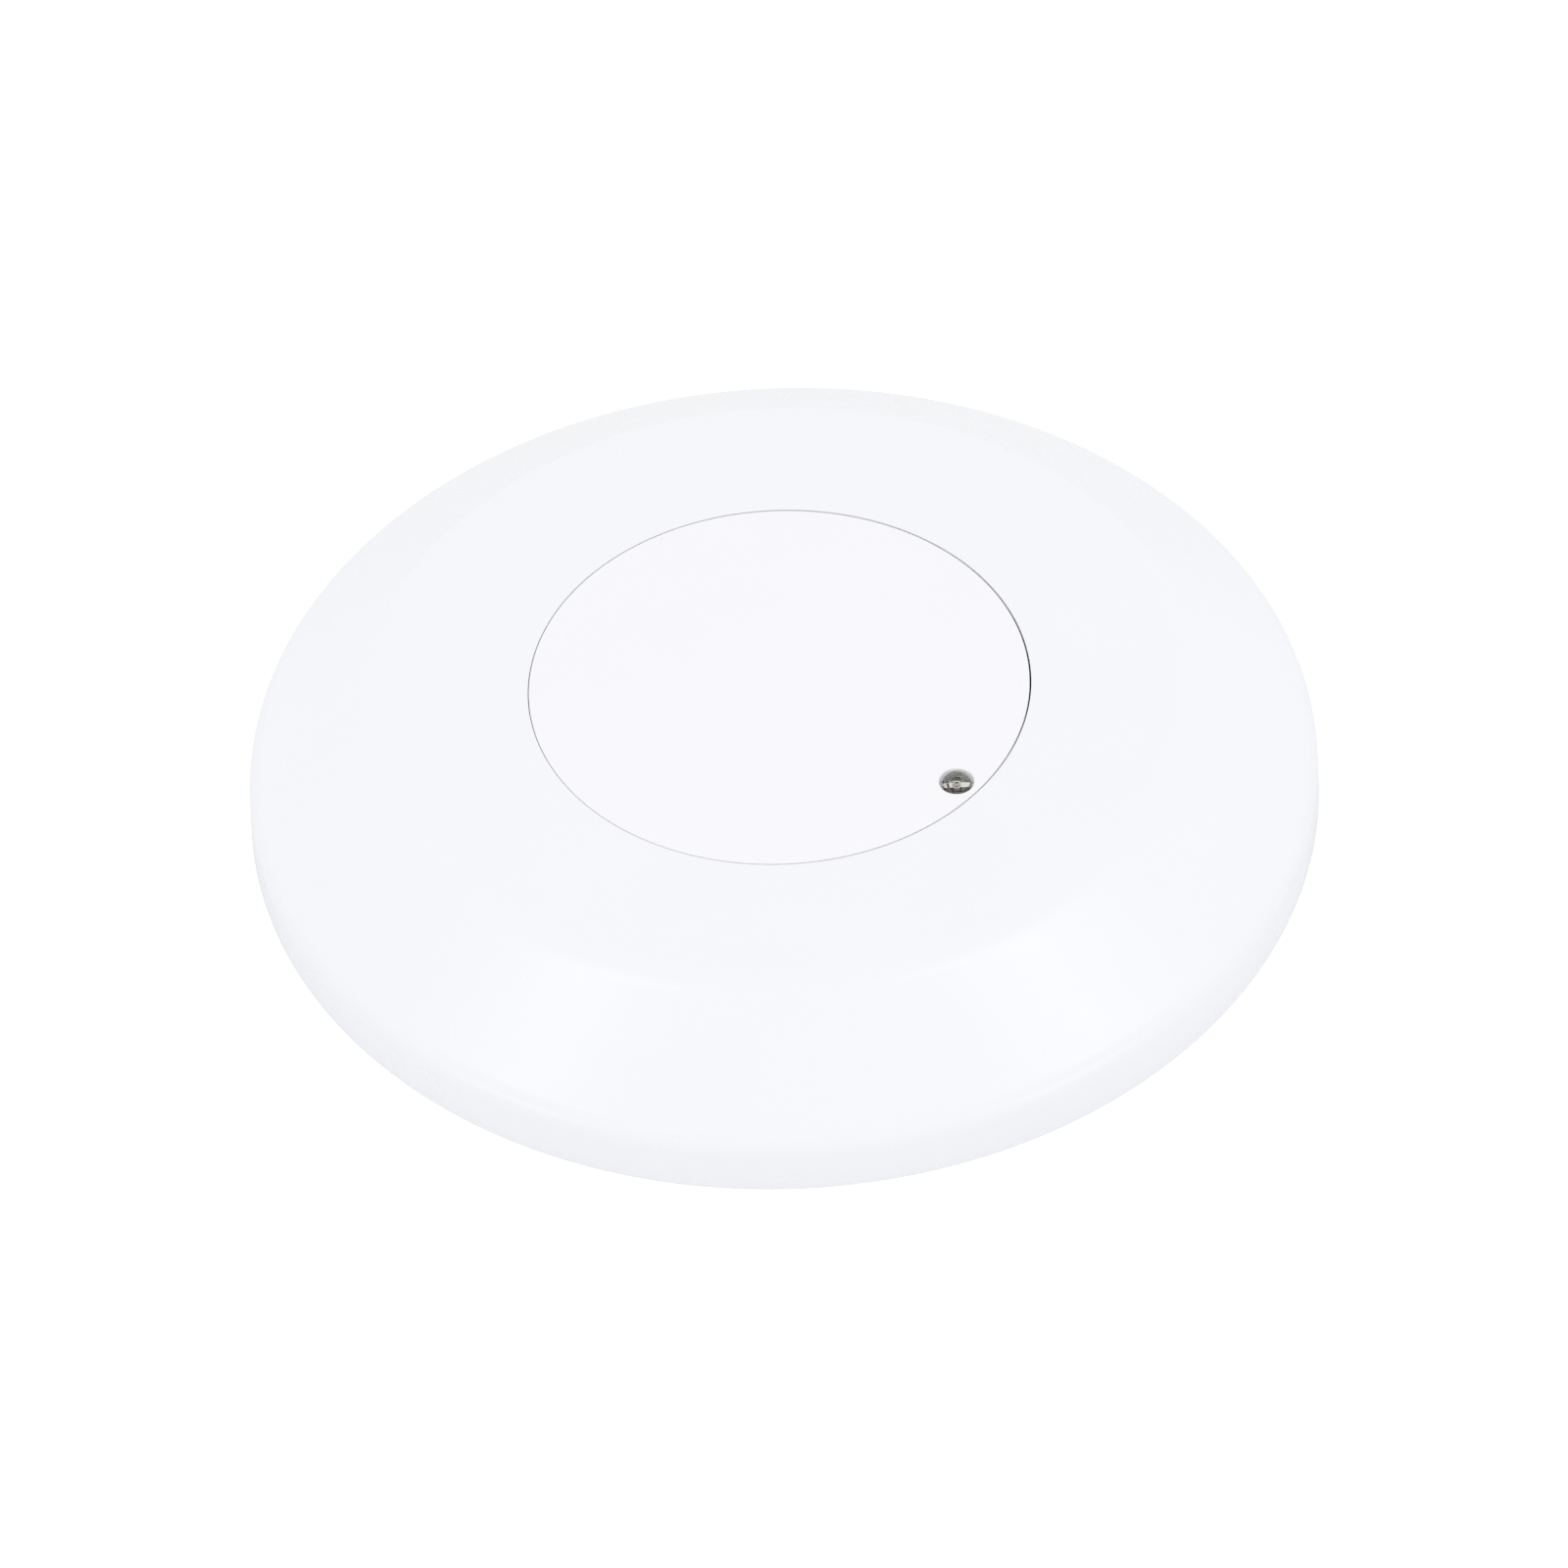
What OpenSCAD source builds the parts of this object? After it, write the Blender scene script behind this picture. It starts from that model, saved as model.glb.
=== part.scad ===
// Low-profile pneumatic rate-of-rise heat detector with a twist-lock base.
// Z = 0 is the mounting face and +Z points away from it, into the room. The X axis runs through the
// two mounting slots. All sizes are in millimetres.

/* [Body] */
// Diameter of the cover at the mounting face
body_d = 110; // [108:1:136]
// Height from the mounting face to the flat front face
body_h = 15; // [15:0.5:19]

/* [Cover] */
// Wall thickness of the moulded cover
cover_wall = 1.8; // [1.5:0.1:2]
// Height of the nearly upright skirt, up to the shoulder
skirt_h = 6.2; // [5:0.1:7.5]
// Width of the sloping band between the shoulder and the flat front face, seen from the front
cone_w = 13.35; // [12:0.05:16]
// Radius of the soft crease between the front face and the cone
crease_r = 6; // [1:0.5:8]
// Radius of the shoulder between the cone and the skirt
shoulder_r = 3; // [1:0.5:4]
// How much the skirt narrows from the mounting face to the shoulder, in radius
skirt_draft = 0.35; // [0.1:0.05:0.6]
// Gap between the skirt's edge and the mounting surface
skirt_gap = 0.3; // [0.2:0.1:0.6]
// Angle that one cover clip spans, in degrees
clip_angle = 10; // [8:1:14]

/* [Collector disc] */
// Diameter of the metal disc in the middle of the front face
disc_d = 50.78; // [50:0.01:51]
// Thickness of the disc's front wall
disc_t = 1; // [0.8:0.1:1.2]
// Gap between the disc and the cover, all round
disc_gap = 0.12; // [0.1:0.01:0.4]
// Distance of the indicator's axis from the disc's edge
led_inset = 2.49; // [2.2:0.01:3]
// Direction of the indicator from the centre, in degrees from +X
led_az = -41.5; // [-46:0.5:-36]

/* [Indicator] */
// Diameter of the clear LED body
led_d = 3; // [2.5:0.1:3.6]
// Gap between the LED and the hole in the disc, all round
led_gap = 0.225; // [0.1:0.005:0.3]
// Height of the LED from its flange to the top of its dome
led_h = 4.6; // [4.2:0.1:4.6]
// How far the dome stands out of the disc's front face
led_proud = 0.75; // [0.5:0.05:1]

/* [Air chamber] */
// Gap between the chamber's wall and the LED's flange
chamber_led_gap = 1.1; // [0.9:0.1:2]
// Radial thickness of the chamber's wall
chamber_wall = 2; // [1.6:0.1:2.4]
// Thickness of the diaphragm
diaphragm_t = 0.2; // [0.1:0.05:0.3]
// Height of the diaphragm's dome above its rim
diaphragm_rise = 0.8; // [0.6:0.1:1]
// Height of the ripples pressed into the diaphragm
ripple_h = 0.12; // [0.05:0.01:0.15]
// Air gap between the contact tip and the gap screw at rest
contact_gap = 0.45; // [0.43:0.01:0.6]
// Diameter of the gap screw
gap_screw_d = 2.96; // [2.5:0.01:3.6]

/* [Twist lock] */
// Angle that one lug spans, in degrees
lug_angle = 18; // [12:1:18]
// How far a lug stands out of the module frame
lug_out = 2.4; // [1.8:0.1:2.4]
// Thickness of a lug and of the ledge that holds it
lug_t = 1.2; // [1:0.1:1.4]
// Height clearance between a lug and its ledge
lug_clear = 0.2; // [0.1:0.05:0.3]

/* [Base plate] */
// Thickness of the base plate's floor
floor_t = 1.8; // [1.6:0.1:2]
// Distance between the centres of the two mounting slots
slot_pitch = 60; // [58:0.5:62]
// Width of a mounting slot
slot_w = 4.2; // [4:0.1:5]
// Length of a mounting slot, end to end
slot_l = 10; // [8:0.5:12]
// Diameter of the cable entry
cable_d = 18; // [14:0.5:20]

/* [Terminals] */
// Distance from a terminal screw's axis out to the module frame's skirt
terminal_inset = 7.8; // [7.2:0.1:10]
// Thickness of the stamped contact
contact_t = 0.5; // [0.4:0.05:0.6]
// Width of the stamped contact
contact_w = 5; // [4:0.1:5.2]
// Diameter of the terminal screw's thread
terminal_screw_d = 2.9; // [2.5:0.1:3]

/* [Circuit board] */
// Thickness of the board
board_t = 1.2; // [1:0.1:1.6]
// Clearance between the board's edge and the noses of the cover clips
board_gap = 0.6; // [0.3:0.1:2]

/* [Hidden] */
$fn = 96;

// colours
white_abs = [0.95, 0.95, 0.96];
disc_white = [0.97, 0.97, 0.97];
inner_abs = [0.86, 0.86, 0.84];
steel = [0.72, 0.73, 0.74];
brass = [0.82, 0.66, 0.34];
silver = [0.85, 0.86, 0.88];
board_green = [0.1, 0.38, 0.22];
rubber_black = [0.12, 0.12, 0.13];
resistor_tan = [0.78, 0.66, 0.46];
epoxy_clear = [0.86, 0.9, 0.92, 0.5];

// small overshoot that lets a cut pass right through a face
eps = 0.01;

// levels above the mounting face, from the base plate up to the front face
body_r = body_d / 2;
seat_z = floor_t + 0.8;            // terminal seats, where the stamped contacts lie
contact_top = seat_z + contact_t;
clamp_t = 0.8;
screw_seat_z = contact_top + clamp_t;
terminal_head_h = 1.3;
frame_z = 6.6;                     // underside of the module frame's floor
frame_t = 1.2;
frame_top = frame_z + frame_t;
board_z = frame_top + 0.4;
board_top = board_z + board_t;
chamber_floor_t = 1.2;
ear_t = 1.4;
ear_r = 2.6;
chamber_wall_top = 11.2;
gasket_t = 0.4;
rim_z = chamber_wall_top + gasket_t;   // underside of the diaphragm's rim
ring_t = 0.4;
ring_top = rim_z + diaphragm_t + ring_t;
disc_under = body_h - disc_t;

// disc, indicator and chamber radii, from the disc's edge inward
disc_r = disc_d / 2;
opening_r = disc_r + disc_gap;
led_pcr = disc_r - led_inset;
led_flange_r = led_d / 2 + 0.4;
chamber_r = led_pcr - led_flange_r - chamber_led_gap;
chamber_in = chamber_r - chamber_wall;
chamber_screw_pcr = chamber_r + 2.7;
board_in = chamber_r + 0.7;

// body radii, from the cover's skirt inward
lugs = 3;
base_gap = 2.2;                    // between the base plate's rim and the cover's skirt
base_r = body_r - cover_wall - base_gap;
// ring-shaped reliefs in the back, clear of the cable entry, the slots and the terminal screws
relief_t = 0.7;
reliefs = [[cable_d / 2 + 3.5, slot_pitch / 2 - slot_l / 2 - 4], [base_r - 11.5, base_r - 5]];
ring_out = base_r - 2;             // bayonet ring
ring_wall = 1.8;
ring_in = ring_out - ring_wall;
lug_run = 0.4;                     // radial clearance of the lugs and of the ledges
lug_tip = ring_in - lug_run;
frame_r = lug_tip - lug_out;
frame_wall = 1.6;
ledge_in = frame_r + lug_run;

terminal_pcr = frame_r - frame_wall - terminal_inset;

// twist lock
lug_z = 4.2;
ledge_z = lug_z + lug_t + lug_clear;
ledge_angle = lug_angle + 3;
lug_az = 20;

// cover clips pass through slots in the module frame's floor and grip under its edge
cover_clips = 3;
clip_t = 1.2;
clip_play = 0.6;                   // between a clip and the frame's skirt
clip_in = frame_r - frame_wall - clip_play - clip_t;
clip_nose = 0.9;
clip_nose_h = 0.6;
clip_slot_room = 0.3;
clip_az = 0;
stop_az = 60;
stop_r = 1.2;
stop_pcr = frame_r - 3;
board_r = clip_in - clip_nose - board_gap;
parts_pcr = max(board_r - 6.5, disc_r + 4.6); // larger components lie here, clear of the disc's posts

// repeated places round the centre
terminal_az = [60, 120, 240, 300];
terminal_shift = 10;               // tangential distance from terminal screw to spring crest
crest_z = 6.1;
board_screw_az = [90, 210, 330];
board_screw_pcr = board_r - 5.5;
chamber_screw_az = [30, 150, 270];
pillar_r = 2.4;

// fasteners
m2_core_r = 0.85;
m2_free_r = 1.1;
m2_head_r = 1.9;
m2_head_h = 1.05;

// indicator
led_top = body_h + led_proud;
led_seat = led_top - led_h;
led_flange_h = 1;
lead_pitch = 1.27;
lead_w = 0.45;

// switch
stud_r = 0.9;
rivet_r = 1.8;
rivet_h = 0.45;
rivet_clear = 0.02;
crown_z = rim_z + diaphragm_rise;  // underside of the diaphragm's middle
tip_bottom = 10.6;
tip_h = 0.4;
gap_screw_top = tip_bottom - contact_gap;
gap_screw_len = 3.1;
thread_clear = 0.05;
bush_r = gap_screw_d / 2 + 0.92;
strip_t = 0.5;

function unit(v) = v / norm(v);

// Arc that replaces the corner at b between a and c, with radius r and n steps
function corner(a, b, c, r, n) =
    r <= 0 ? [b] :
    let (u = unit(a - b), v = unit(c - b), half = acos(u * v) / 2,
         centre = b + unit(u + v) * r / sin(half),
         start = b + u * r / tan(half) - centre,
         from = atan2(start.y, start.x),
         turn = (cross(b - a, c - b) > 0 ? 1 : -1) * (180 - 2 * half))
    [for (i = [0 : n]) centre + r * [cos(from + turn * i / n), sin(from + turn * i / n)]];

// Outline with each point's corner rounded by that point's third number
function rounded(pts, n = 10) =
    let (m = len(pts), at = function (i) [pts[i % m].x, pts[i % m].y])
    [for (i = [0 : m - 1]) each corner(at(i + m - 1), at(i), at(i + 1), pts[i].z, n)];

// The corner at b between a and c, moved inward until it lies w from both of its sides
function inset(a, b, c, w) =
    let (u = unit(a - b), v = unit(c - b)) b + unit(u + v) * w / sin(acos(u * v) / 2);

module at(az, r) { rotate([0, 0, az]) translate([r, 0, 0]) children(); }

module tube(r_out, r_in, z, h) {
    translate([0, 0, z]) difference() {
        cylinder(r = r_out, h = h);
        translate([0, 0, -eps]) cylinder(r = r_in, h = h + 2 * eps);
    }
}

// Part of a ring, centred on direction az
module sector(r_out, r_in, z, h, az, angle) {
    rotate([0, 0, az - angle / 2]) rotate_extrude(angle = angle)
        translate([r_in, z]) square([r_out - r_in, h]);
}

// Block centred on its foot
module block(size, z) { translate([-size.x / 2, -size.y / 2, z]) cube(size); }

// Cross recess in a screw head whose outer face is at z; up is 1 when that face looks up
module cross_recess(r, depth, z, up) {
    for (a = [0, 90]) rotate([0, 0, a])
        block([2 * r, 0.32 * r, depth + eps], up > 0 ? z - depth : z - eps);
}

// ---- base ----

module mounting_slot() {
    reach = slot_l / 2 - slot_w / 2;
    for (s = [-1, 1]) translate([s * reach, 0, -eps]) cylinder(d = slot_w, h = floor_t + 2 * eps);
    block([2 * reach, slot_w, floor_t + 2 * eps], -eps);
}

module terminal_seat() {
    block([12, 11, seat_z - floor_t + eps], floor_t - eps);
    for (s = [-1, 1]) translate([0, s * 5.1, 0]) block([12, 1, 2.6], floor_t - eps);
}

// Half section of the base: collar round the cable entry, floor, bayonet ring and the two reliefs in its
// back
module base_section() {
    entry = cable_d / 2;
    collar = [entry + 1.4, floor_t + 1.2];
    top = ledge_z + lug_t;
    back = [for (r = reliefs) each [[r[0], 0], [r[0], relief_t], [r[1], relief_t], [r[1], 0]]];
    polygon([[entry, 0], each back, [base_r, 0], [base_r, floor_t], [ring_out, floor_t], [ring_out, top],
             [ring_in, top], [ring_in, floor_t], [collar.x, floor_t], collar, [entry, collar.y]]);
}

// Ledge that holds one lug down, with the stop at its closed end, both a little below the ring's top
module ledge(az) {
    sector(ring_in + 0.5, ledge_in, ledge_z, lug_t - 0.2, az, ledge_angle);
    sector(ring_in + 0.5, ledge_in + 0.1, floor_t - eps, ledge_z + lug_t - 0.4 - floor_t,
           az - ledge_angle / 2, 2);
}

module base_plate() {
    color(inner_abs) difference() {
        union() {
            // turned so that the revolved seam lies clear of every slot, ledge and rib
            rotate([0, 0, 100]) rotate_extrude() base_section();
            for (k = [0 : lugs - 1]) ledge(lug_az + k * 360 / lugs);
            for (az = terminal_az) at(az, terminal_pcr) difference() {
                terminal_seat();
                // room for the spring blade, which leaves the seat on one side
                translate([0, 5.1, 0]) block([contact_w + 0.6, 2, 3], seat_z);
            }
            for (az = [0, 90, 180, 270]) at(az, ring_in - 6.2) block([8, 1.2, 1.4], floor_t - eps);
            for (az = [90, 270]) at(az, 24) block([14, 1.2, 1.4], floor_t - eps);
            for (r = reliefs, k = [0 : 11]) at(15 + 30 * k, (r[0] + r[1]) / 2)
                block([r[1] - r[0] + 0.4, 1.2, relief_t], 0.15);
        }
        for (s = [-1, 1]) translate([s * slot_pitch / 2, 0, 0]) mounting_slot();
        for (az = terminal_az) at(az, terminal_pcr)
            translate([0, 0, 0.8]) cylinder(d = terminal_screw_d + 0.3, h = 3);
    }
}

// Stamped contact: a flat terminal plate that bends up into a leaf spring with a rounded crest
module base_contact() {
    mid = [[-4.4, seat_z + contact_t / 2, 0], [4.2, seat_z + contact_t / 2, 1.2],
           [terminal_shift - 1.6, crest_z - contact_t / 2 - 0.25, 1.5],
           [terminal_shift + 1.2, crest_z - contact_t / 2 - 0.25, 1.5],
           [terminal_shift + 3.2, 4.7, 0]];
    lift = contact_t / 2;
    n = len(mid);
    // normal of the strip at point i, from the directions on both sides of it
    side = function (i)
        let (p = mid[max(i - 1, 0)], q = mid[i], r = mid[min(i + 1, n - 1)],
             a = i > 0 ? unit([q.x - p.x, q.y - p.y]) : unit([r.x - q.x, r.y - q.y]),
             b = i < n - 1 ? unit([r.x - q.x, r.y - q.y]) : a,
             m = unit(a + b))
        [-m.y, m.x] / (m * a);
    edge = function (s, i) let (o = side(i) * lift * s)
        [mid[i].x + o.x, mid[i].y + o.y, mid[i].z];
    outline = [for (i = [0 : n - 1]) edge(-1, i), for (i = [n - 1 : -1 : 0]) edge(1, i)];
    difference() {
        translate([contact_w / 2, 0, 0]) rotate([90, 0, -90]) mirror([1, 0, 0])
            linear_extrude(height = contact_w) polygon(rounded(outline, 5));
        translate([0, 0, seat_z - eps]) cylinder(d = terminal_screw_d + 0.1, h = contact_t + 2 * eps);
    }
}

module base_contacts() {
    color(brass) for (az = terminal_az) at(az, terminal_pcr) base_contact();
}

module wire_clamps() {
    color(steel) for (az = terminal_az) at(az, terminal_pcr) difference() {
        block([7.4, 7.4, clamp_t], contact_top);
        translate([0, 0, contact_top - eps])
            cylinder(d = terminal_screw_d + 0.3, h = clamp_t + 2 * eps);
    }
}

module terminal_screws() {
    head_r = terminal_screw_d / 2 + 1.25;
    color(silver) for (az = terminal_az) at(az, terminal_pcr) difference() {
        union() {
            translate([0, 0, 1.2]) cylinder(d = terminal_screw_d, h = screw_seat_z - 1.2 + eps);
            translate([0, 0, screw_seat_z]) cylinder(r = head_r, h = terminal_head_h * 0.6);
            translate([0, 0, screw_seat_z + terminal_head_h * 0.6])
                cylinder(r1 = head_r, r2 = head_r - 0.6, h = terminal_head_h * 0.4);
        }
        rotate([0, 0, az]) cross_recess(1.7, 0.8, screw_seat_z + terminal_head_h, 1);
    }
}

// ---- module frame ----

// Half section of the frame: floor, outer skirt, low rim and a stiffening ring under the floor
module frame_section() {
    ring = [15, 16.2];
    polygon([[0, frame_z], [ring[0], frame_z], [ring[0], frame_z - 0.8], [ring[1], frame_z - 0.8],
             [ring[1], frame_z], [frame_r - frame_wall, frame_z], [frame_r - frame_wall, lug_z],
             [frame_r, lug_z], [frame_r, frame_top + 0.8], [frame_r - 1, frame_top + 0.8],
             [frame_r - 1, frame_top], [0, frame_top]]);
}

module module_frame() {
    color(inner_abs) difference() {
        union() {
            // turned so that the revolved seam lies clear of every slot and lug
            rotate([0, 0, 100]) rotate_extrude() frame_section();
            for (k = [0 : lugs - 1])
                sector(lug_tip, frame_r - 0.5, lug_z, lug_t, lug_az + k * 360 / lugs, lug_angle);
            for (az = board_screw_az) at(az, board_screw_pcr)
                translate([0, 0, frame_top - eps]) cylinder(r = pillar_r, h = board_z - frame_top + eps);
        }
        for (k = [0 : cover_clips - 1])
            sector(clip_in + clip_t + clip_slot_room, clip_in - clip_slot_room, frame_z - eps,
                   frame_t + 2 * eps, clip_az + k * 360 / cover_clips, clip_angle + 4);
        // the gap screw is set through this hole
        translate([0, 0, frame_z - eps]) cylinder(r = bush_r + 0.2, h = frame_t + 2 * eps);
        for (az = chamber_screw_az) at(az, chamber_screw_pcr)
            translate([0, 0, frame_z - eps]) cylinder(r = m2_free_r, h = frame_t + 2 * eps);
        for (az = board_screw_az) at(az, board_screw_pcr)
            translate([0, 0, frame_z + 0.3]) cylinder(r = m2_core_r + eps, h = 3);
        for (az = terminal_az) wiping_tab(az, 0.1);
    }
}

// Upright tab of a wiping contact, from its pad up to the board; room widens it for the frame's slot
pad_az = atan(terminal_shift / terminal_pcr);
pad_r = norm([terminal_shift, terminal_pcr]);
module wiping_tab(az, room) {
    at(az + pad_az + 5, pad_r)
        block([2 + 2 * room, contact_t + 2 * room, board_z - frame_z + 2 * room + 0.15],
              frame_z - 0.15 - room);
}

module wiping_contacts() {
    color(brass) for (az = terminal_az) {
        sector(pad_r + 2, pad_r - 2, frame_z - 0.3, 0.3, az + pad_az, 14);
        wiping_tab(az, 0);
    }
}

module circuit_board() {
    lead = lead_w / 2 + 0.15;
    color(board_green) difference() {
        tube(board_r, board_in, board_z, board_t);
        // notches that clear the chamber's screw ears
        for (az = chamber_screw_az) {
            at(az, chamber_screw_pcr) translate([0, 0, board_z - eps])
                cylinder(r = ear_r + 0.4, h = board_t + 2 * eps);
            at(az, chamber_screw_pcr - 2) block([4, 2 * ear_r + 0.8, board_t + 2 * eps], board_z - eps);
        }
        for (az = board_screw_az) at(az, board_screw_pcr)
            translate([0, 0, board_z - eps]) cylinder(r = m2_free_r, h = board_t + 2 * eps);
        at_led() for (s = [-1, 1]) translate([0, s * lead_pitch, board_z - eps])
            cylinder(r = lead + 0.1, h = board_t + 2 * eps);
    }
}

module board_screws() {
    color(silver) for (az = board_screw_az) at(az, board_screw_pcr) difference() {
        union() {
            translate([0, 0, frame_z + 0.5]) cylinder(r = m2_core_r, h = board_top - frame_z - 0.4);
            translate([0, 0, board_top]) cylinder(r = m2_head_r, h = m2_head_h);
        }
        rotate([0, 0, az]) cross_recess(1.2, 0.7, board_top + m2_head_h, 1);
    }
}

// ---- components on the board ----

module bridge_rectifier() {
    body = [6.4, 8.2, 2.3];
    stand = 0.25;
    color(rubber_black) at(0, parts_pcr - 0.4) {
        difference() {
            block(body, board_top + stand);
            translate([-2, 2.9, board_top + stand + body.z - 0.2]) cylinder(r = 0.6, h = 1);
        }
        for (i = [-1, 1], s = [-1, 1]) translate([s * (body.x / 2 + 0.25), i * 2.54, 0])
            block([0.5, 0.8, 1.6], board_top);
    }
}

module surge_suppressor() {
    color([0.16, 0.32, 0.62]) at(180, parts_pcr - 0.6) {
        translate([0, 0, board_top]) cylinder(r = 3.6, h = 2.2);
        translate([0, 0, board_top + 2.2 - eps]) cylinder(r1 = 3.6, r2 = 3, h = 0.6);
        for (s = [-1, 1]) translate([3.4, s * 1.8, 0]) block([1.2, 0.6, 0.6], board_top);
    }
}

module latch_thyristor() {
    color(rubber_black) at(270, parts_pcr - 0.4) {
        intersection() {
            translate([-2.3, 0, board_top]) rotate([0, 90, 0]) cylinder(r = 2.3, h = 4.6);
            block([5, 5, 3], board_top);
        }
        for (s = [-1, 0, 1]) translate([-3.3, s * 1.27, 0]) block([2.2, 0.45, 0.45], board_top);
    }
}

// Part with a lead at each end, lying on the board along local Y
module axial(body_r, body_l, span) {
    z = board_top + body_r + 0.1;
    translate([0, body_l / 2, z]) rotate([90, 0, 0]) cylinder(r = body_r, h = body_l);
    for (s = [-1, 1]) {
        translate([0, s * span / 2 + 0.3, z]) rotate([90, 0, 0]) cylinder(r = 0.3, h = 0.6);
        translate([0, s * (span / 4 + body_l / 4) + (span - body_l) / 4 + 0.15, z]) rotate([90, 0, 0])
            cylinder(r = 0.3, h = (span - body_l) / 2 + 0.3);
        translate([0, s * span / 2, board_top]) cylinder(r = 0.3, h = z - board_top);
    }
}

resistor_az = [22, 43, 110, 224.5, 245, 292];
diode_az = [152, 168, 198];
capacitor_az = [66, 128, 306, 346];

module resistors() {
    color(resistor_tan) for (a = resistor_az) at(a, parts_pcr) axial(1.15, 6.2, 9.6);
}

module diodes() {
    color(rubber_black) for (a = diode_az) at(a, parts_pcr) rotate([0, 0, 90]) axial(1, 4.2, 7.2);
}

module chip_capacitors() {
    color([0.72, 0.62, 0.5]) for (a = capacitor_az) at(a, parts_pcr - 4)
        block([1.6, 3.2, 1.2], board_top);
}

// ---- indicator ----

// Children stand on the indicator's axis, with the row of leads along X and the cathode towards +X
module at_led() { at(led_az, led_pcr) rotate([0, 0, 90 - led_az]) children(); }

// Two bent wires inside the lens: a post with the reflector cup and a thinner anvil post
module led_wires(z_low) {
    for (s = [-1, 1]) translate([0, s * lead_pitch, 0])
        block([lead_w, lead_w, led_seat + 0.8 - z_low], z_low);
    translate([0, -0.5, 0]) block([lead_w, 1.3, 0.9], led_seat + 0.8 - eps);
    translate([0, -0.15, 0]) block([lead_w, 0.7, 1.1], led_seat + 1.7 - 2 * eps);
    translate([0, -0.15, led_seat + 2.6]) cylinder(r1 = 0.3, r2 = 0.5, h = 0.5);
    translate([0, 0.9, 0]) block([lead_w, 0.5, 1.7], led_seat + 0.8 - eps);
}

module led_lens() {
    r = led_d / 2;
    flange_top = led_seat + led_flange_h;
    color(epoxy_clear) at_led() difference() {
        rotate_extrude() polygon(rounded([[0, led_seat, 0], [led_flange_r, led_seat, 0],
                                          [led_flange_r, flange_top, 0.1], [r, flange_top, 0.1],
                                          [r, led_top, r - eps], [0, led_top, 0]], 12));
        // flat on the flange, on the cathode's side
        translate([0, -led_flange_r, 0]) block([3, 0.5, led_flange_h + 0.5], led_seat - 0.25);
        led_wires(led_seat - 1);
    }
}

module led_leads() { color(silver) at_led() led_wires(board_z - 0.2); }

module led_spacer() {
    color([0.93, 0.93, 0.9]) at_led() difference() {
        translate([0, 0, board_top]) cylinder(r = led_flange_r, h = led_seat - board_top);
        for (s = [-1, 1]) translate([0, s * lead_pitch, board_top - eps])
            cylinder(r = lead_w / 2 + 0.15, h = led_seat - board_top + 2 * eps);
    }
}

// White ring round the lens, which keeps its light out of the housing
module led_hood() {
    low = led_seat + led_flange_h;
    color([0.93, 0.93, 0.9]) at_led()
        tube(led_flange_r + 0.4, (led_d + led_gap) / 2, low, disc_under - 0.2 - low);
}

// ---- air chamber and switch ----

module chamber_base() {
    color(inner_abs) difference() {
        union() {
            translate([0, 0, frame_top]) cylinder(r = chamber_r, h = chamber_floor_t);
            tube(chamber_r, chamber_in, frame_top, chamber_wall_top - frame_top);
            for (az = chamber_screw_az) {
                at(az, chamber_screw_pcr) translate([0, 0, frame_top]) cylinder(r = ear_r, h = ear_t);
                at(az, chamber_screw_pcr - 2) block([4, 2 * ear_r, ear_t], frame_top);
            }
        }
        translate([0, 0, frame_top - eps]) cylinder(r = bush_r, h = chamber_floor_t + 2 * eps);
        for (az = chamber_screw_az) at(az, chamber_screw_pcr)
            translate([0, 0, frame_top - eps]) cylinder(r = m2_free_r, h = ear_t + 2 * eps);
    }
}

module chamber_gasket() {
    color(rubber_black) tube(chamber_r - 0.1, chamber_in + 0.1, chamber_wall_top, gasket_t);
}

// Half section of the diaphragm: flat rim, rippled dome, flat middle
dome_out = chamber_in - 0.6;
dome_in = 3;
ripples = 5;
function dome_z(r) =
    let (t = min(max((dome_out - r) / (dome_out - dome_in), 0), 1))
    rim_z + diaphragm_rise * t + ripple_h * sin(360 * ripples * t) * sin(180 * t);

module diaphragm() {
    steps = 60;
    radii = [for (i = [0 : steps]) dome_out + (dome_in - dome_out) * i / steps];
    rim = chamber_r - 0.1;
    hole = stud_r;
    under = [[rim, rim_z], for (r = radii) [r, dome_z(r)], [hole, crown_z]];
    over = [for (i = [len(under) - 1 : -1 : 0]) [under[i].x, under[i].y + diaphragm_t]];
    color(steel) rotate_extrude() polygon(concat(under, over));
}

module diaphragm_ring() {
    color(brass) tube(chamber_r - 0.1, chamber_in + 0.1, rim_z + diaphragm_t, ring_t);
}

module collector_disc() {
    edge = 0.2;
    post_top = disc_under + eps;
    plug_z = (ring_top + disc_under) / 2;
    color(disc_white) difference() {
        union() {
            rotate_extrude() polygon(rounded([[0, disc_under, 0], [disc_r, disc_under, 0],
                                              [disc_r, body_h, edge], [0, body_h, 0]], 6));
            tube(chamber_r - 0.1, chamber_in + 0.1, ring_top, disc_under - ring_top + eps);
            for (az = chamber_screw_az) at(az, chamber_screw_pcr)
                translate([0, 0, frame_top + ear_t]) cylinder(r = 2.1, h = post_top - frame_top - ear_t);
        }
        at(led_az, led_pcr) translate([0, 0, disc_under - eps])
            cylinder(d = led_d + 2 * led_gap, h = disc_t + 2 * eps);
        for (az = chamber_screw_az) at(az, chamber_screw_pcr)
            translate([0, 0, frame_top + ear_t - eps]) cylinder(r = m2_core_r, h = 3.8);
        at(90, chamber_in - 0.4) translate([0, 0, plug_z]) rotate([0, 90, 0]) cylinder(r = 0.5, h = 3);
    }
}

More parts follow.
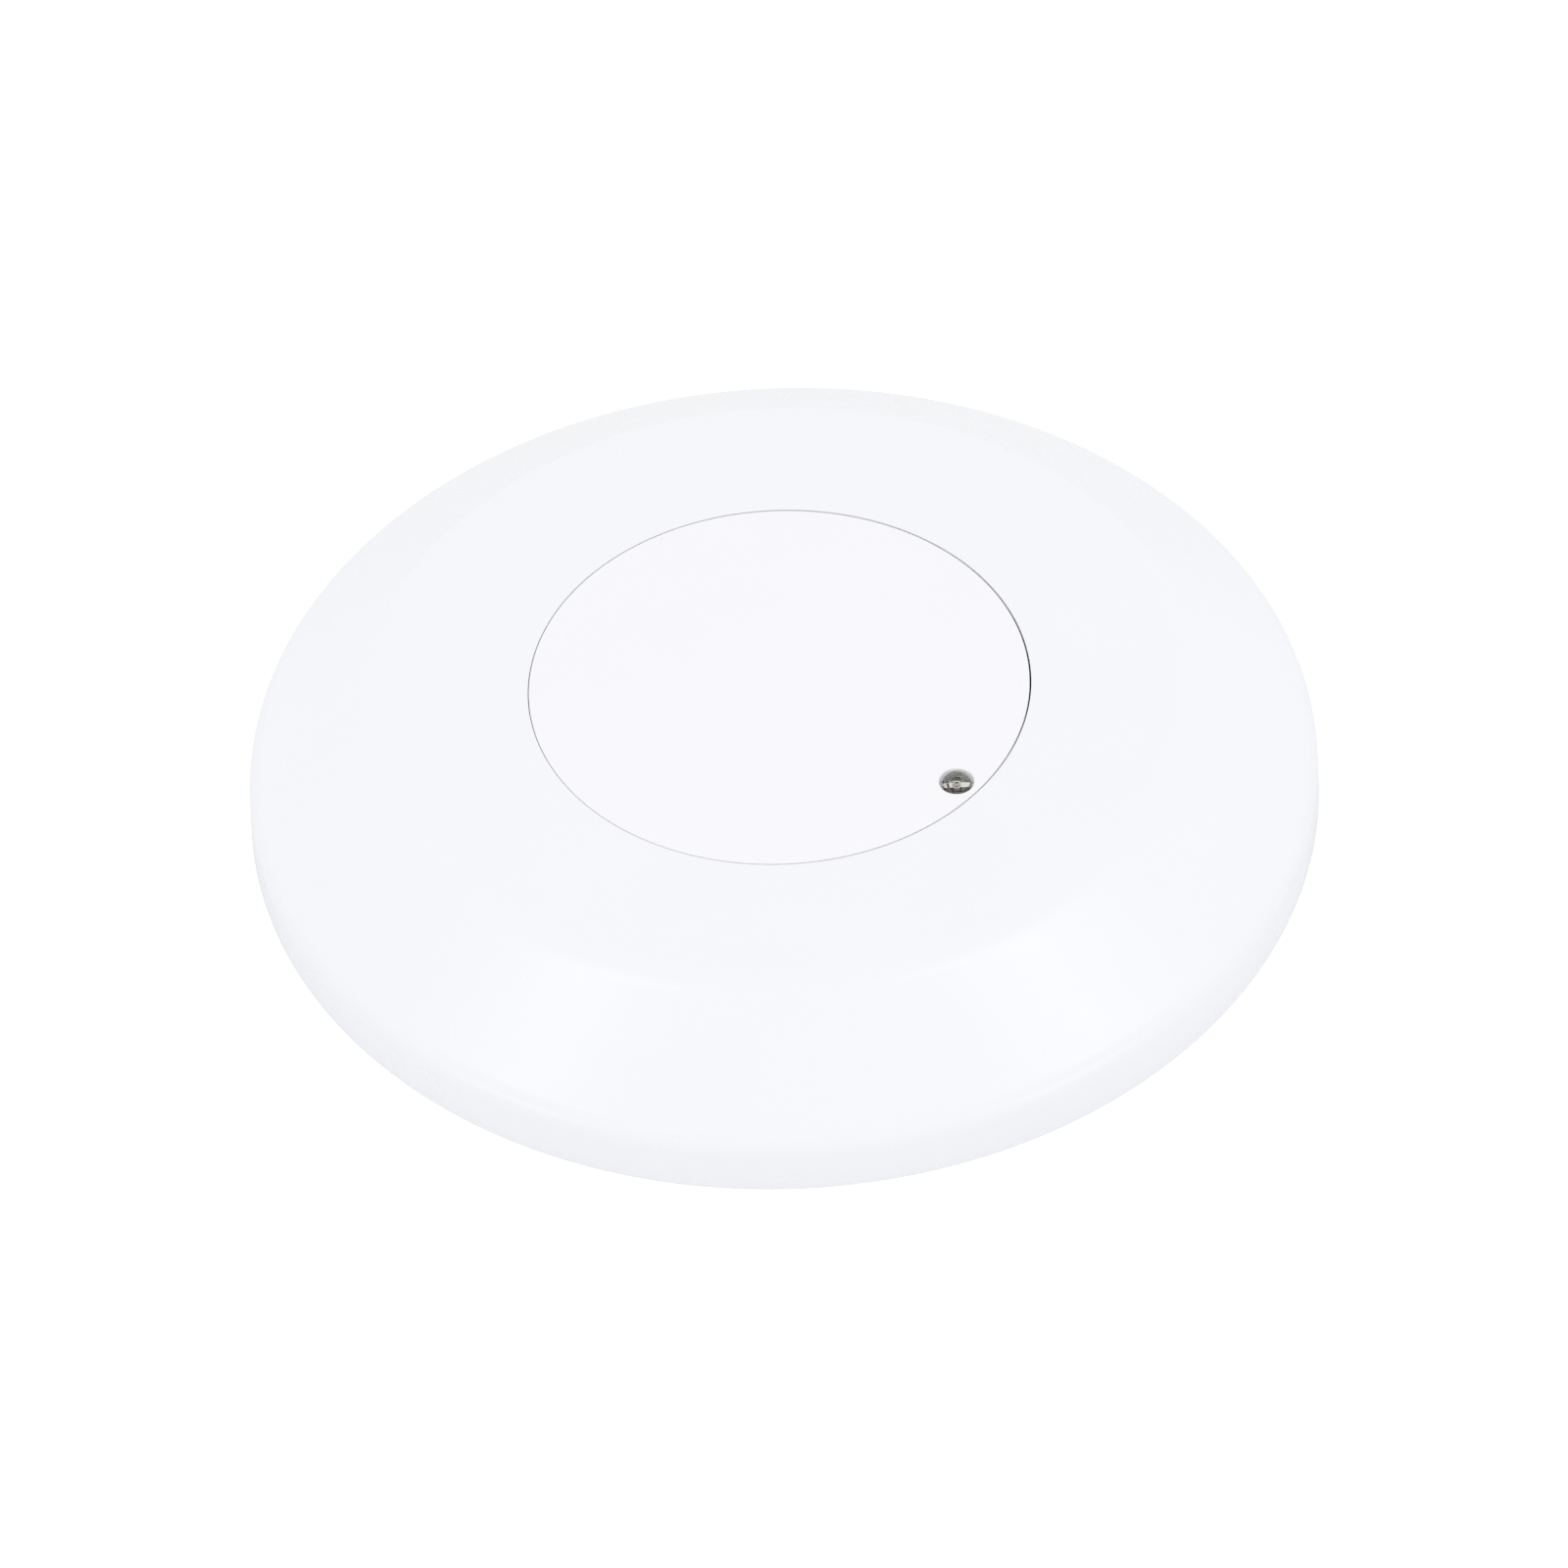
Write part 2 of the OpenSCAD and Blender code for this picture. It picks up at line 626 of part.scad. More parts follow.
module leak_plug() {
    color(brass) at(90, chamber_in + 0.1) translate([0, 0, (ring_top + disc_under) / 2])
        rotate([0, 90, 0]) cylinder(r = 0.5, h = chamber_wall + 0.3);
}

module chamber_screws() {
    color(silver) for (az = chamber_screw_az) at(az, chamber_screw_pcr) difference() {
        union() {
            translate([0, 0, frame_z - m2_head_h]) cylinder(r = m2_head_r, h = m2_head_h);
            translate([0, 0, frame_z - eps]) cylinder(r = m2_core_r, h = frame_t + ear_t + 3);
        }
        rotate([0, 0, az]) cross_recess(1.2, 0.7, frame_z - m2_head_h, -1);
    }
}

module contact_bush() {
    low = frame_top;
    head_h = 0.8;
    color(brass) difference() {
        union() {
            translate([0, 0, low]) cylinder(r = bush_r, h = chamber_floor_t + strip_t + eps);
            translate([0, 0, low + chamber_floor_t + strip_t])
                cylinder(r = bush_r + 0.6, h = head_h, $fn = 6);
        }
        translate([0, 0, low - eps])
            cylinder(d = gap_screw_d + 2 * thread_clear, h = chamber_floor_t + strip_t + head_h + 1);
    }
}

pin_az = [200, 340];
pin_pcr = 15;
pin_r = 0.5;

// Strip from the bush to the first lead pin
module contact_strip() {
    z = frame_top + chamber_floor_t;
    color(brass) difference() {
        union() {
            translate([0, 0, z]) cylinder(r = bush_r + 1.4, h = strip_t);
            rotate([0, 0, pin_az[0]]) translate([0, -1.25, z]) cube([pin_pcr, 2.5, strip_t]);
            at(pin_az[0], pin_pcr) translate([0, 0, z]) cylinder(r = 1.25, h = strip_t);
        }
        translate([0, 0, z - eps]) cylinder(r = bush_r, h = strip_t + 2 * eps);
        at(pin_az[0], pin_pcr) translate([0, 0, z - eps]) cylinder(r = pin_r, h = strip_t + 2 * eps);
    }
}

// Pins that carry the switch's two sides out to the board, each on the chamber's floor
module lead_pins() {
    z = frame_top + chamber_floor_t;
    color(silver) for (az = pin_az) at(az, pin_pcr) translate([0, 0, z]) cylinder(r = pin_r, h = 1.4);
}

module contact_stud() {
    top = crown_z + diaphragm_t + rivet_clear;
    color(brass) {
        translate([0, 0, tip_bottom + tip_h]) cylinder(r = stud_r - 0.05, h = top - tip_bottom - tip_h + 0.2);
        translate([0, 0, crown_z - rivet_clear - rivet_h]) cylinder(r = rivet_r, h = rivet_h);
        translate([0, 0, top]) cylinder(r = rivet_r, h = rivet_h);
    }
}

module contact_tip() {
    color(silver) translate([0, 0, tip_bottom]) cylinder(r1 = 0.9, r2 = 1.1, h = tip_h);
}

module gap_screw() {
    color(steel) difference() {
        union() {
            translate([0, 0, gap_screw_top - gap_screw_len])
                cylinder(d = gap_screw_d, h = gap_screw_len - 0.3);
            translate([0, 0, gap_screw_top - 0.3 - eps]) cylinder(r = 1, h = 0.3 + eps);
        }
        block([gap_screw_d + 1, 0.5, 0.8 + eps], gap_screw_top - gap_screw_len - eps);
    }
}

// ---- cover ----

module cover_shell() {
    foot = [body_r, skirt_gap];
    shoulder = [body_r - skirt_draft, skirt_h];
    crease = [shoulder.x - cone_w, body_h];
    middle = [0, body_h];
    shoulder_in = inset(foot, shoulder, crease, cover_wall);
    crease_in = inset(shoulder, crease, middle, cover_wall);
    lip = opening_r + 1.4;
    under = body_h - cover_wall;
    rotate_extrude($fn = 180) polygon(rounded([
        [foot.x, foot.y, 0.3], [shoulder.x, shoulder.y, shoulder_r], [crease.x, crease.y, crease_r],
        [opening_r, body_h, 0.2], [opening_r, under - 0.6, 0], [lip, under - 0.6, 0],
        [lip, under, 0.3], [crease_in.x, crease_in.y, crease_r - 1],
        [shoulder_in.x, shoulder_in.y, max(shoulder_r - cover_wall, 0.2)],
        [body_r - cover_wall, skirt_gap, 0.3]]));
}

module clip() {
    top = body_h - cover_wall - 0.4;
    low = frame_z - 0.1 - clip_nose_h;
    rotate([0, 0, -clip_angle / 2]) rotate_extrude(angle = clip_angle) polygon([
        [clip_in, top], [clip_in, frame_z - 0.1], [clip_in - clip_nose, frame_z - 0.1],
        [clip_in - clip_nose, low + 0.3], [clip_in + 0.2, low - 0.3], [clip_in + clip_t, low - 0.3],
        [clip_in + clip_t, top]]);
}

module outer_cover() {
    color(white_abs) {
        cover_shell();
        for (k = [0 : cover_clips - 1]) rotate([0, 0, clip_az + k * 360 / cover_clips]) {
            clip();
            at(stop_az, stop_pcr) translate([0, 0, frame_top])
                cylinder(r = stop_r, h = body_h - cover_wall - frame_top);
        }
    }
}

base_plate();
base_contacts();
wire_clamps();
terminal_screws();
module_frame();
wiping_contacts();
circuit_board();
board_screws();
bridge_rectifier();
surge_suppressor();
latch_thyristor();
resistors();
diodes();
chip_capacitors();
led_lens();
led_leads();
led_spacer();
led_hood();
chamber_base();
chamber_gasket();
diaphragm();
diaphragm_ring();
collector_disc();
leak_plug();
chamber_screws();
contact_bush();
contact_strip();
lead_pins();
contact_stud();
contact_tip();
gap_screw();
outer_cover();
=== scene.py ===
import math

import bmesh
import bpy
import numpy as np
from bpy.props import FloatProperty, FloatVectorProperty, IntProperty, PointerProperty
from bpy.types import Operator, Panel, PropertyGroup
from mathutils import Matrix


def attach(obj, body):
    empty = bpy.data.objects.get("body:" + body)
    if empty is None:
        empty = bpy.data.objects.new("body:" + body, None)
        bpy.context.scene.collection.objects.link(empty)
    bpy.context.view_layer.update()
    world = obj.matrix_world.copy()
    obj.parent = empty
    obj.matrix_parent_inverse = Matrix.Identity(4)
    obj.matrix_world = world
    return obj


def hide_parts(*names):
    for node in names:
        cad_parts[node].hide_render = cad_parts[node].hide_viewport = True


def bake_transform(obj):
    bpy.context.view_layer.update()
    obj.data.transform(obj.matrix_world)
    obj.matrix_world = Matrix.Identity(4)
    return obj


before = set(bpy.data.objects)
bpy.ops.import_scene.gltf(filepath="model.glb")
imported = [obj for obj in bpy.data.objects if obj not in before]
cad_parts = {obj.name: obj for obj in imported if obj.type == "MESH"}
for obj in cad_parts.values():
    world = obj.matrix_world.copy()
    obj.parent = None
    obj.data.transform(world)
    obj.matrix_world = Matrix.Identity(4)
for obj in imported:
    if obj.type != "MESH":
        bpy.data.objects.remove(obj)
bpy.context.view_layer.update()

bl_info = {
    "name": "Rate-of-rise heat detector",
    "version": (1, 0, 0),
    "blender": (4, 5, 0),
    "location": "View3D > Sidebar > Detector",
    "description": "Detailed surfaces and finishes for a low ceiling heat detector with a twist-lock base",
    "category": "Add Mesh",
}

# Shapes are worked out in millimetres and become metres when a mesh is made.
MM = 0.001
JOIN = 1e-5  # distance in millimetres under which two points of a piece are one
DISC_LEAN = math.radians(212)  # direction in which the disc sits off centre


# ---------------------------------------------------------------- settings

def millimetres(name, description, value):
    """A length property that shows in scene units and starts at value millimetres."""
    return FloatProperty(name=name, description=description, default=value * MM, min=0.0,
                         unit="LENGTH", precision=5)


def colour(name, description, value):
    """A colour property that starts at value, a linear red, green and blue."""
    return FloatVectorProperty(name=name, description=description, default=value, size=3,
                               subtype="COLOR", min=0.0, max=1.0)


class DetectorSizes(PropertyGroup):
    """Sizes of the visible body and of the pieces inside it."""
    cover_r: millimetres("Cover radius", "Radius of the cover at the mounting face", 55.0)
    height: millimetres("Height", "Mounting face to front face", 15.0)
    skirt_h: millimetres("Skirt height", "Height of the shoulder above the mounting face", 6.2)
    cone_w: millimetres("Cone width", "Width of the sloping band, seen from the front", 13.35)
    wall: millimetres("Wall", "Wall thickness of the cover", 1.8)
    crease_r: millimetres("Crease", "Radius of the crease round the flat face", 6.0)
    shoulder_r: millimetres("Shoulder", "Radius of the shoulder over the skirt", 3.0)
    draft: millimetres("Draft", "How much the skirt narrows up to the shoulder", 0.35)
    skirt_gap: millimetres("Skirt gap", "Gap between the skirt and the ceiling", 0.3)
    disc_r: millimetres("Disc radius", "Radius of the collector disc", 25.39)
    disc_t: millimetres("Disc thickness", "Thickness of the collector disc", 1.0)
    disc_gap: millimetres("Disc gap", "Gap between the disc and the cover", 0.12)
    disc_shift: millimetres("Disc shift", "How far the disc sits off centre in its opening", 0.055)
    led_inset: millimetres("Indicator inset", "Indicator axis to the disc's edge", 2.49)
    led_r: millimetres("Indicator radius", "Radius of the clear lens", 1.5)
    led_gap: millimetres("Indicator gap", "Gap between the lens and its hole", 0.225)
    led_h: millimetres("Indicator height", "Height of the lens", 4.6)
    led_proud: millimetres("Indicator stand-out", "How far the dome stands out of the disc", 0.75)
    board_top: millimetres("Board level", "Upper face of the circuit board", 9.4)
    led_az: FloatProperty(name="Indicator direction", description="Direction from the centre",
                          default=math.radians(-41.5), subtype="ANGLE")


class DetectorFinishes(PropertyGroup):
    """Colours of the finishes."""
    cover: colour("Cover", "Moulded cover", (0.80, 0.813, 0.84))
    disc: colour("Disc", "Painted collector disc", (0.826, 0.822, 0.852))
    moulding: colour("Mouldings", "Base, frame and chamber", (0.74, 0.745, 0.735))
    brass: colour("Brass", "Stamped contacts and bush", (0.72, 0.50, 0.20))
    steel: colour("Zinc steel", "Screws and clamps", (0.58, 0.59, 0.60))
    tin: colour("Tin", "Leads and solder", (0.72, 0.72, 0.70))
    board: colour("Board", "Solder mask", (0.010, 0.100, 0.036))
    bronze: colour("Bronze", "Diaphragm foil", (0.62, 0.38, 0.20))


class StudioSettings(PropertyGroup):
    """Camera, lights and floor."""
    lens: FloatProperty(name="Lens", description="Focal length", default=135.0, min=10.0, unit="CAMERA")
    distance: millimetres("Distance", "Camera to the middle of the mounting face", 606.5)
    elevation: FloatProperty(name="Elevation", description="Camera height above the floor",
                             default=math.radians(45.69), subtype="ANGLE")
    roll: FloatProperty(name="Roll", description="Turn of the camera about its own axis",
                        default=math.radians(2.733), subtype="ANGLE")
    sky: FloatProperty(name="Ambient light", description="Strength of the even light", default=1.063, min=0.0)
    softbox: FloatProperty(name="Softboxes", description="Radiance of the softboxes", default=1.1, min=0.0)
    table: FloatProperty(name="Light table", description="Light that the floor gives off", default=0.28, min=0.0)
    floor: colour("Floor", "Colour of the floor", (0.68, 0.68, 0.68))
    steps: IntProperty(name="Steps", description="Steps round a large turned surface", default=256, min=32)


def sizes():
    """Every size in millimetres, by name, with the few that follow from them."""
    group = bpy.context.scene.detector_sizes
    s = {key: getattr(group, key) / MM for key in DetectorSizes.__annotations__ if key != "led_az"}
    s["led_az"] = group.led_az
    s["led_pcr"] = s["disc_r"] - s["led_inset"]
    s["led_top"] = s["height"] + s["led_proud"]
    s["led_seat"] = s["led_top"] - s["led_h"]
    s["opening_r"] = s["disc_r"] + s["disc_gap"]
    return s


# ---------------------------------------------------------------- surfaces

def unit(v):
    return v / np.linalg.norm(v)


def fillet(before, corner, after, radius, steps):
    """Points of an arc that replaces a corner: its centre lies on the corner's bisector at
    radius / sin(half angle), and the arc runs between the two tangent points."""
    if radius <= 0:
        return corner[None]
    u, v = unit(before - corner), unit(after - corner)
    half = math.acos(np.clip(u @ v, -1, 1)) / 2
    centre = corner + unit(u + v) * radius / math.sin(half)
    start = corner + u * radius / math.tan(half) - centre
    way = np.sign(np.cross(corner - before, after - corner))
    turn = np.linspace(0, way * (math.pi - 2 * half), steps + 1) + math.atan2(start[1], start[0])
    return centre + radius * np.stack([np.cos(turn), np.sin(turn)], 1)


def outline(points, steps=8):
    """Closed outline with each corner rounded by the third number of its point."""
    p = np.array(points, float)
    n = len(p)
    arcs = [fillet(p[i - 1, :2], p[i, :2], p[(i + 1) % n, :2], p[i, 2], steps) for i in range(n)]
    return np.concatenate(arcs)


def inset(before, corner, after, width):
    """The corner moved inward until it lies width from both of its sides."""
    u, v = unit(before - corner), unit(after - corner)
    return corner + unit(u + v) * width / math.sin(math.acos(u @ v) / 2)


def grid(points, close_rows=False, close_columns=True, finish=0):
    """Quads over an array of points (rows, columns, 3). The last row or column joins the first
    where it is closed. finish is the number of the material."""
    m, n = points.shape[:2]
    i = np.arange(m if close_rows else m - 1)[:, None]
    j = np.arange(n if close_columns else n - 1)[None, :]
    near, far = (i % m) * n, ((i + 1) % m) * n
    right = (j + 1) % n
    quads = np.stack([near + j, near + right, far + right, far + j], -1).reshape(-1, 4)
    return points.reshape(-1, 3), quads, finish


def lathe(profile, steps, closed=True, finish=0, centre=(0, 0)):
    """Turned surface: each profile point (r, z) runs round the axis as (r cos a, r sin a, z)."""
    a = np.linspace(0, 2 * math.pi, steps, endpoint=False)
    r, z = profile[:, 0, None], profile[:, 1, None]
    p = np.stack(np.broadcast_arrays(centre[0] + r * np.cos(a), centre[1] + r * np.sin(a), z), -1)
    return grid(p, close_rows=closed, finish=finish)


def turned_sector(profile, start, stop, steps, finish=0):
    """A closed profile carried part of the way round the axis, with flat ends."""
    a = np.linspace(start, stop, steps)[:, None]
    r, z = profile[None, :, 0], profile[None, :, 1]
    p = np.stack(np.broadcast_arrays(r * np.cos(a), r * np.sin(a), z), -1)
    verts, quads, finish = grid(p, finish=finish)
    n = len(profile)
    caps = [tuple(range(n)), tuple(range((steps - 1) * n, steps * n))]
    return verts, [*map(tuple, quads), *caps], finish


def rings(levels, steps, finish=0, closed=True):
    """Surface through circles: level (x, y, r, z) is the circle of radius r round (x, y) at z."""
    a = np.linspace(0, 2 * math.pi, steps, endpoint=False)
    x, y, r, z = np.array(levels, float).T[:, :, None]
    p = np.stack(np.broadcast_arrays(x + r * np.cos(a), y + r * np.sin(a), z), -1)
    return grid(p, close_rows=closed, finish=finish)


def slab(edge, levels, finish=0):
    """Block with a flat outline: at level (z, shrink) each outline point moves inward by shrink along
    the mean of its neighbouring edges' normals. The first and last levels are closed flat."""
    ahead = np.roll(edge, -1, 0) - edge
    normal = np.stack([ahead[:, 1], -ahead[:, 0]], 1)
    normal /= np.linalg.norm(normal, axis=1)[:, None]
    mean = normal + np.roll(normal, 1, 0)
    mean /= (1 + (normal * np.roll(normal, 1, 0)).sum(1))[:, None]
    rows = [np.column_stack([edge - mean * shrink, np.full(len(edge), z)]) for z, shrink in levels]
    verts, quads, finish = grid(np.array(rows), finish=finish)
    n = len(edge)
    caps = [tuple(range(n)), tuple(range(len(verts) - n, len(verts)))]
    return verts, [*map(tuple, quads), *caps], finish


def bevelled(edge, low, high, bevel, finish=0, steps=3):
    """A slab between two levels with its top and bottom edges rounded by quarter circles."""
    t = np.linspace(0, math.pi / 2, steps + 1)
    foot = [(low + bevel * (1 - math.sin(a)), bevel * (1 - math.cos(a))) for a in t[::-1]]
    head = [(high - bevel * (1 - math.sin(a)), bevel * (1 - math.cos(a))) for a in t]
    return slab(edge, foot + head, finish)


def rectangle(width, depth, radius, x=0.0, y=0.0, steps=4):
    """Rounded rectangle, anticlockwise, centred on (x, y)."""
    w, d = width / 2, depth / 2
    return outline([(x - w, y - d, radius), (x + w, y - d, radius),
                    (x + w, y + d, radius), (x - w, y + d, radius)], steps)


def circle(radius, steps=32):
    a = np.linspace(0, 2 * math.pi, steps, endpoint=False)
    return radius * np.stack([np.cos(a), np.sin(a)], 1)


def sweep(path, section, side, finish=0):
    """A closed section (u, v) carried along a path. u runs along the cross product of side and the
    path's direction, v along side; side is square to the whole path. The ends are closed flat."""
    path = np.array(path, float)
    side = unit(np.array(side, float))
    along = np.gradient(path, axis=0)
    along /= np.linalg.norm(along, axis=1)[:, None]
    across = np.cross(side, along)
    p = path[:, None] + section[None, :, :1] * across[:, None] + section[None, :, 1:] * side
    verts, quads, finish = grid(p, finish=finish)
    n = len(section)
    caps = [tuple(range(n)), tuple(range(len(verts) - n, len(verts)))]
    return verts, [*map(tuple, quads), *caps], finish


def bent_path(points, steps=6):
    """Open path through points (x, y, z, r), with each inner corner rounded by its radius r, in the
    plane of that corner."""
    p = np.array(points, float)
    out = [p[:1, :3]]
    for i in range(1, len(p) - 1):
        before, corner, after, radius = p[i - 1, :3], p[i, :3], p[i + 1, :3], p[i, 3]
        u, v = unit(before - corner), unit(after - corner)
        half = math.acos(np.clip(u @ v, -1, 1)) / 2
        centre = corner + unit(u + v) * radius / math.sin(half)
        start = corner + u * radius / math.tan(half) - centre
        stop = corner + v * radius / math.tan(half) - centre
        t = np.linspace(0, 1, steps + 1)[:, None]
        sweep_angle = math.pi - 2 * half
        arc = (np.sin((1 - t) * sweep_angle) * start + np.sin(t * sweep_angle) * stop) / math.sin(sweep_angle)
        out.append(centre + arc)
    return np.concatenate([*out, p[-1:, :3]])


def screw_head(radius, height, dome, cross, depth, steps=144, rows=40, finish=0):
    """Pan head on its seat at z = 0. The top is height - dome (r/radius)^4, lowered by depth inside a
    cross: each arm is two crosses wide and its side falls along a smooth step."""
    r = np.concatenate([np.linspace(0, 0.98, rows), [0.995, 1.0, 1.0]])[:, None] * radius
    a = np.linspace(0, 2 * math.pi, steps, endpoint=False)
    x, y = r * np.cos(a), r * np.sin(a)
    z = height - dome * (r / radius) ** 4 + 0 * x
    t = np.clip((1.3 * cross - np.minimum(np.abs(x), np.abs(y))) / (0.6 * cross), 0, 1)
    reach = np.clip((0.62 * radius - r) / (0.14 * radius), 0, 1)
    z = z - depth * t * t * (3 - 2 * t) * reach * (1 - 0.35 * r / radius)
    z[-1] = 0
    base = np.zeros((1, steps, 3))
    return grid(np.concatenate([np.stack([x, y, z], -1), base]), finish=finish)


def slotted_end(radius, length, width, depth, steps=96, rows=30, finish=0):
    """End of a headless screw: a flat face at length above its seat, lowered by depth where the distance
    from the middle line is under half of width."""
    r = np.concatenate([np.linspace(0, 0.96, rows), [0.985, 1.0, 1.0]])[:, None] * radius
    a = np.linspace(0, 2 * math.pi, steps, endpoint=False)
    x, y = r * np.cos(a), r * np.sin(a)
    edge = np.where(r > 0.99 * radius, 0.04, 0.0)
    z = length - edge - depth * np.clip((0.5 * width - np.abs(y)) / 0.04 + 0.5, 0, 1)
    z[-1] = 0
    base = np.zeros((1, steps, 3))
    return grid(np.concatenate([np.stack([x, y, z], -1), base]), finish=finish)


def thread(radius, depth, pitch, low, high, steps=28, finish=0):
    """Screw thread: at height z and angle a the radius falls by depth times a rounded tooth wave of
    (z / pitch - a / full turn), and it shrinks to a flat tip at both ends."""
    rows = max(8, int((high - low) / pitch * 10))
    z = np.linspace(low, high, rows)[:, None]
    a = np.linspace(0, 2 * math.pi, steps, endpoint=False)
    phase = (z - low) / pitch - a / (2 * math.pi)
    wave = 2 * np.abs(phase - np.floor(phase) - 0.5)
    fade = np.clip(np.minimum(z - low, high - z) / (0.5 * pitch), 0, 1)
    r = radius - depth * (1 - fade * np.clip(1.4 * wave, 0, 1))
    p = np.stack([r * np.cos(a), r * np.sin(a), z + 0 * a], -1)
    ends = [np.zeros((1, steps, 3)) + [0, 0, end] for end in (low, high)]
    return grid(np.concatenate([ends[0], p, ends[1]]), finish=finish)


def placed(patch, azimuth=0.0, radius=0.0, z=0.0, turn=0.0, flip=False):
    """A patch turned by turn about its own axis, then moved out along azimuth (degrees) and up by z.
    flip looks down instead of up, as a half turn about its own X."""
    verts, faces, finish = patch
    if flip:
        verts = verts * [1, -1, -1]
    a = math.radians(turn)
    x, y = verts[:, 0] * math.cos(a) - verts[:, 1] * math.sin(a), verts[:, 0] * math.sin(a) + verts[:, 1] * math.cos(a)
    x = x + radius
    b = math.radians(azimuth)
    moved = np.stack([x * math.cos(b) - y * math.sin(b), x * math.sin(b) + y * math.cos(b), verts[:, 2] + z], 1)
    return moved, faces, finish


# ---------------------------------------------------------------- pieces

def piece(name, patches, body, finishes, replaces=(), angle=38.0):
    """One object from several patches, in metres, with its doubles merged, its faces turned outward and
    edges sharper than angle kept crisp. It rides on a body and stands for the CAD nodes it replaces."""
    verts, faces, numbers, first = [], [], [], 0
    for points, quads, finish in patches:
        verts.append(points)
        faces += [tuple(int(v) + first for v in face) for face in quads]
        numbers += [finish] * len(quads)
        first += len(points)
    mesh = bpy.data.meshes.new(name)
    mesh.from_pydata(np.concatenate(verts).tolist(), [], faces)
    mesh.polygons.foreach_set("material_index", numbers)
    work = bmesh.new()
    work.from_mesh(mesh)
    bmesh.ops.remove_doubles(work, verts=work.verts, dist=JOIN)
    bmesh.ops.recalc_face_normals(work, faces=work.faces)
    work.to_mesh(mesh)
    work.free()
    mesh.transform(((MM, 0, 0, 0), (0, MM, 0, 0), (0, 0, MM, 0), (0, 0, 0, 1)))
    mesh.polygons.foreach_set("use_smooth", [True] * len(mesh.polygons))
    mesh.set_sharp_from_angle(angle=math.radians(angle))
    for finish in finishes:
        mesh.materials.append(material(finish))
    mesh.update()
    made = bpy.data.objects.new(name, mesh)
    bpy.context.scene.collection.objects.link(made)
    if body:
        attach(made, body)
    if replaces:
        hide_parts(*replaces)
    return made


def carried_over(node, finish):
    """Give a CAD node a procedural finish; its mesh stays as it is."""
    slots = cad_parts[node].data.materials
    slots.clear()
    slots.append(material(finish))


# ---------------------------------------------------------------- shader groups

def group(name, inputs, outputs):
    """An empty shader node group with named value inputs, and its two end nodes."""
    tree = bpy.data.node_groups.new(name, "ShaderNodeTree")
    for label, kind, default in inputs:
        socket = tree.interface.new_socket(name=label, in_out="INPUT", socket_type=kind)
        socket.default_value = default
    for label, kind in outputs:
        tree.interface.new_socket(name=label, in_out="OUTPUT", socket_type=kind)
    return tree, tree.nodes.new("NodeGroupInput"), tree.nodes.new("NodeGroupOutput")


def node(tree, kind, links=None, **settings):
    """A node with its settings and its inputs: an input is another node's output or a plain value."""
    made = tree.nodes.new(kind)
    for key, value in settings.items():
        setattr(made, key, value)
    for key, value in (links or {}).items():
        if isinstance(value, bpy.types.NodeSocket):
            tree.links.new(value, made.inputs[key])
        else:
            made.inputs[key].default_value = value
    return made


def arithmetic(tree, operation, a, b=0.0, c=0.0):
    return node(tree, "ShaderNodeMath", {0: a, 1: b, 2: c}, operation=operation).outputs[0]


def blend_colours(tree, share, a, b):
    """A mix of two colours: share 0 is a, share 1 is b."""
    mixed = node(tree, "ShaderNodeMix", {"Factor": share}, data_type="RGBA")
    for socket, value in ((mixed.inputs[6], a), (mixed.inputs[7], b)):
        if isinstance(value, bpy.types.NodeSocket):
            tree.links.new(value, socket)
        else:
            socket.default_value = (*value, 1)
    return mixed.outputs[2]


def noise(tree, position, size, detail=2.0, roughness=0.5):
    """Noise whose features are about size millimetres across."""
    return node(tree, "ShaderNodeTexNoise",
                {"Vector": position, "Scale": 1 / (size * MM), "Detail": detail, "Roughness": roughness}
                ).outputs["Fac"]


def moulded_grain():
    """Spark-eroded mould texture: fine pits, a slower orange peel, and a soft mottle for the colour."""
    name = "Moulded grain"
    if name in bpy.data.node_groups:
        return bpy.data.node_groups[name]
    tree, start, end = group(
        name,
        [("Pit Size", "NodeSocketFloat", 0.12), ("Peel Share", "NodeSocketFloat", 0.35)],
        [("Height", "NodeSocketFloat"), ("Mottle", "NodeSocketFloat"), ("Gloss", "NodeSocketFloat")])
    place = node(tree, "ShaderNodeTexCoord").outputs["Object"]
    scale = arithmetic(tree, "DIVIDE", 1 / MM, start.outputs["Pit Size"])
    pits = node(tree, "ShaderNodeTexNoise", {"Vector": place, "Scale": scale, "Detail": 2.0}).outputs["Fac"]
    peel = noise(tree, place, 1.6, 1.0)
    height = node(tree, "ShaderNodeMix", {"Factor": start.outputs["Peel Share"]}, data_type="FLOAT")
    tree.links.new(pits, height.inputs[2])
    tree.links.new(peel, height.inputs[3])
    tree.links.new(height.outputs[0], end.inputs["Height"])
    tree.links.new(noise(tree, place, 14.0, 3.0), end.inputs["Mottle"])
    tree.links.new(noise(tree, place, 5.0, 4.0, 0.6), end.inputs["Gloss"])
    return tree


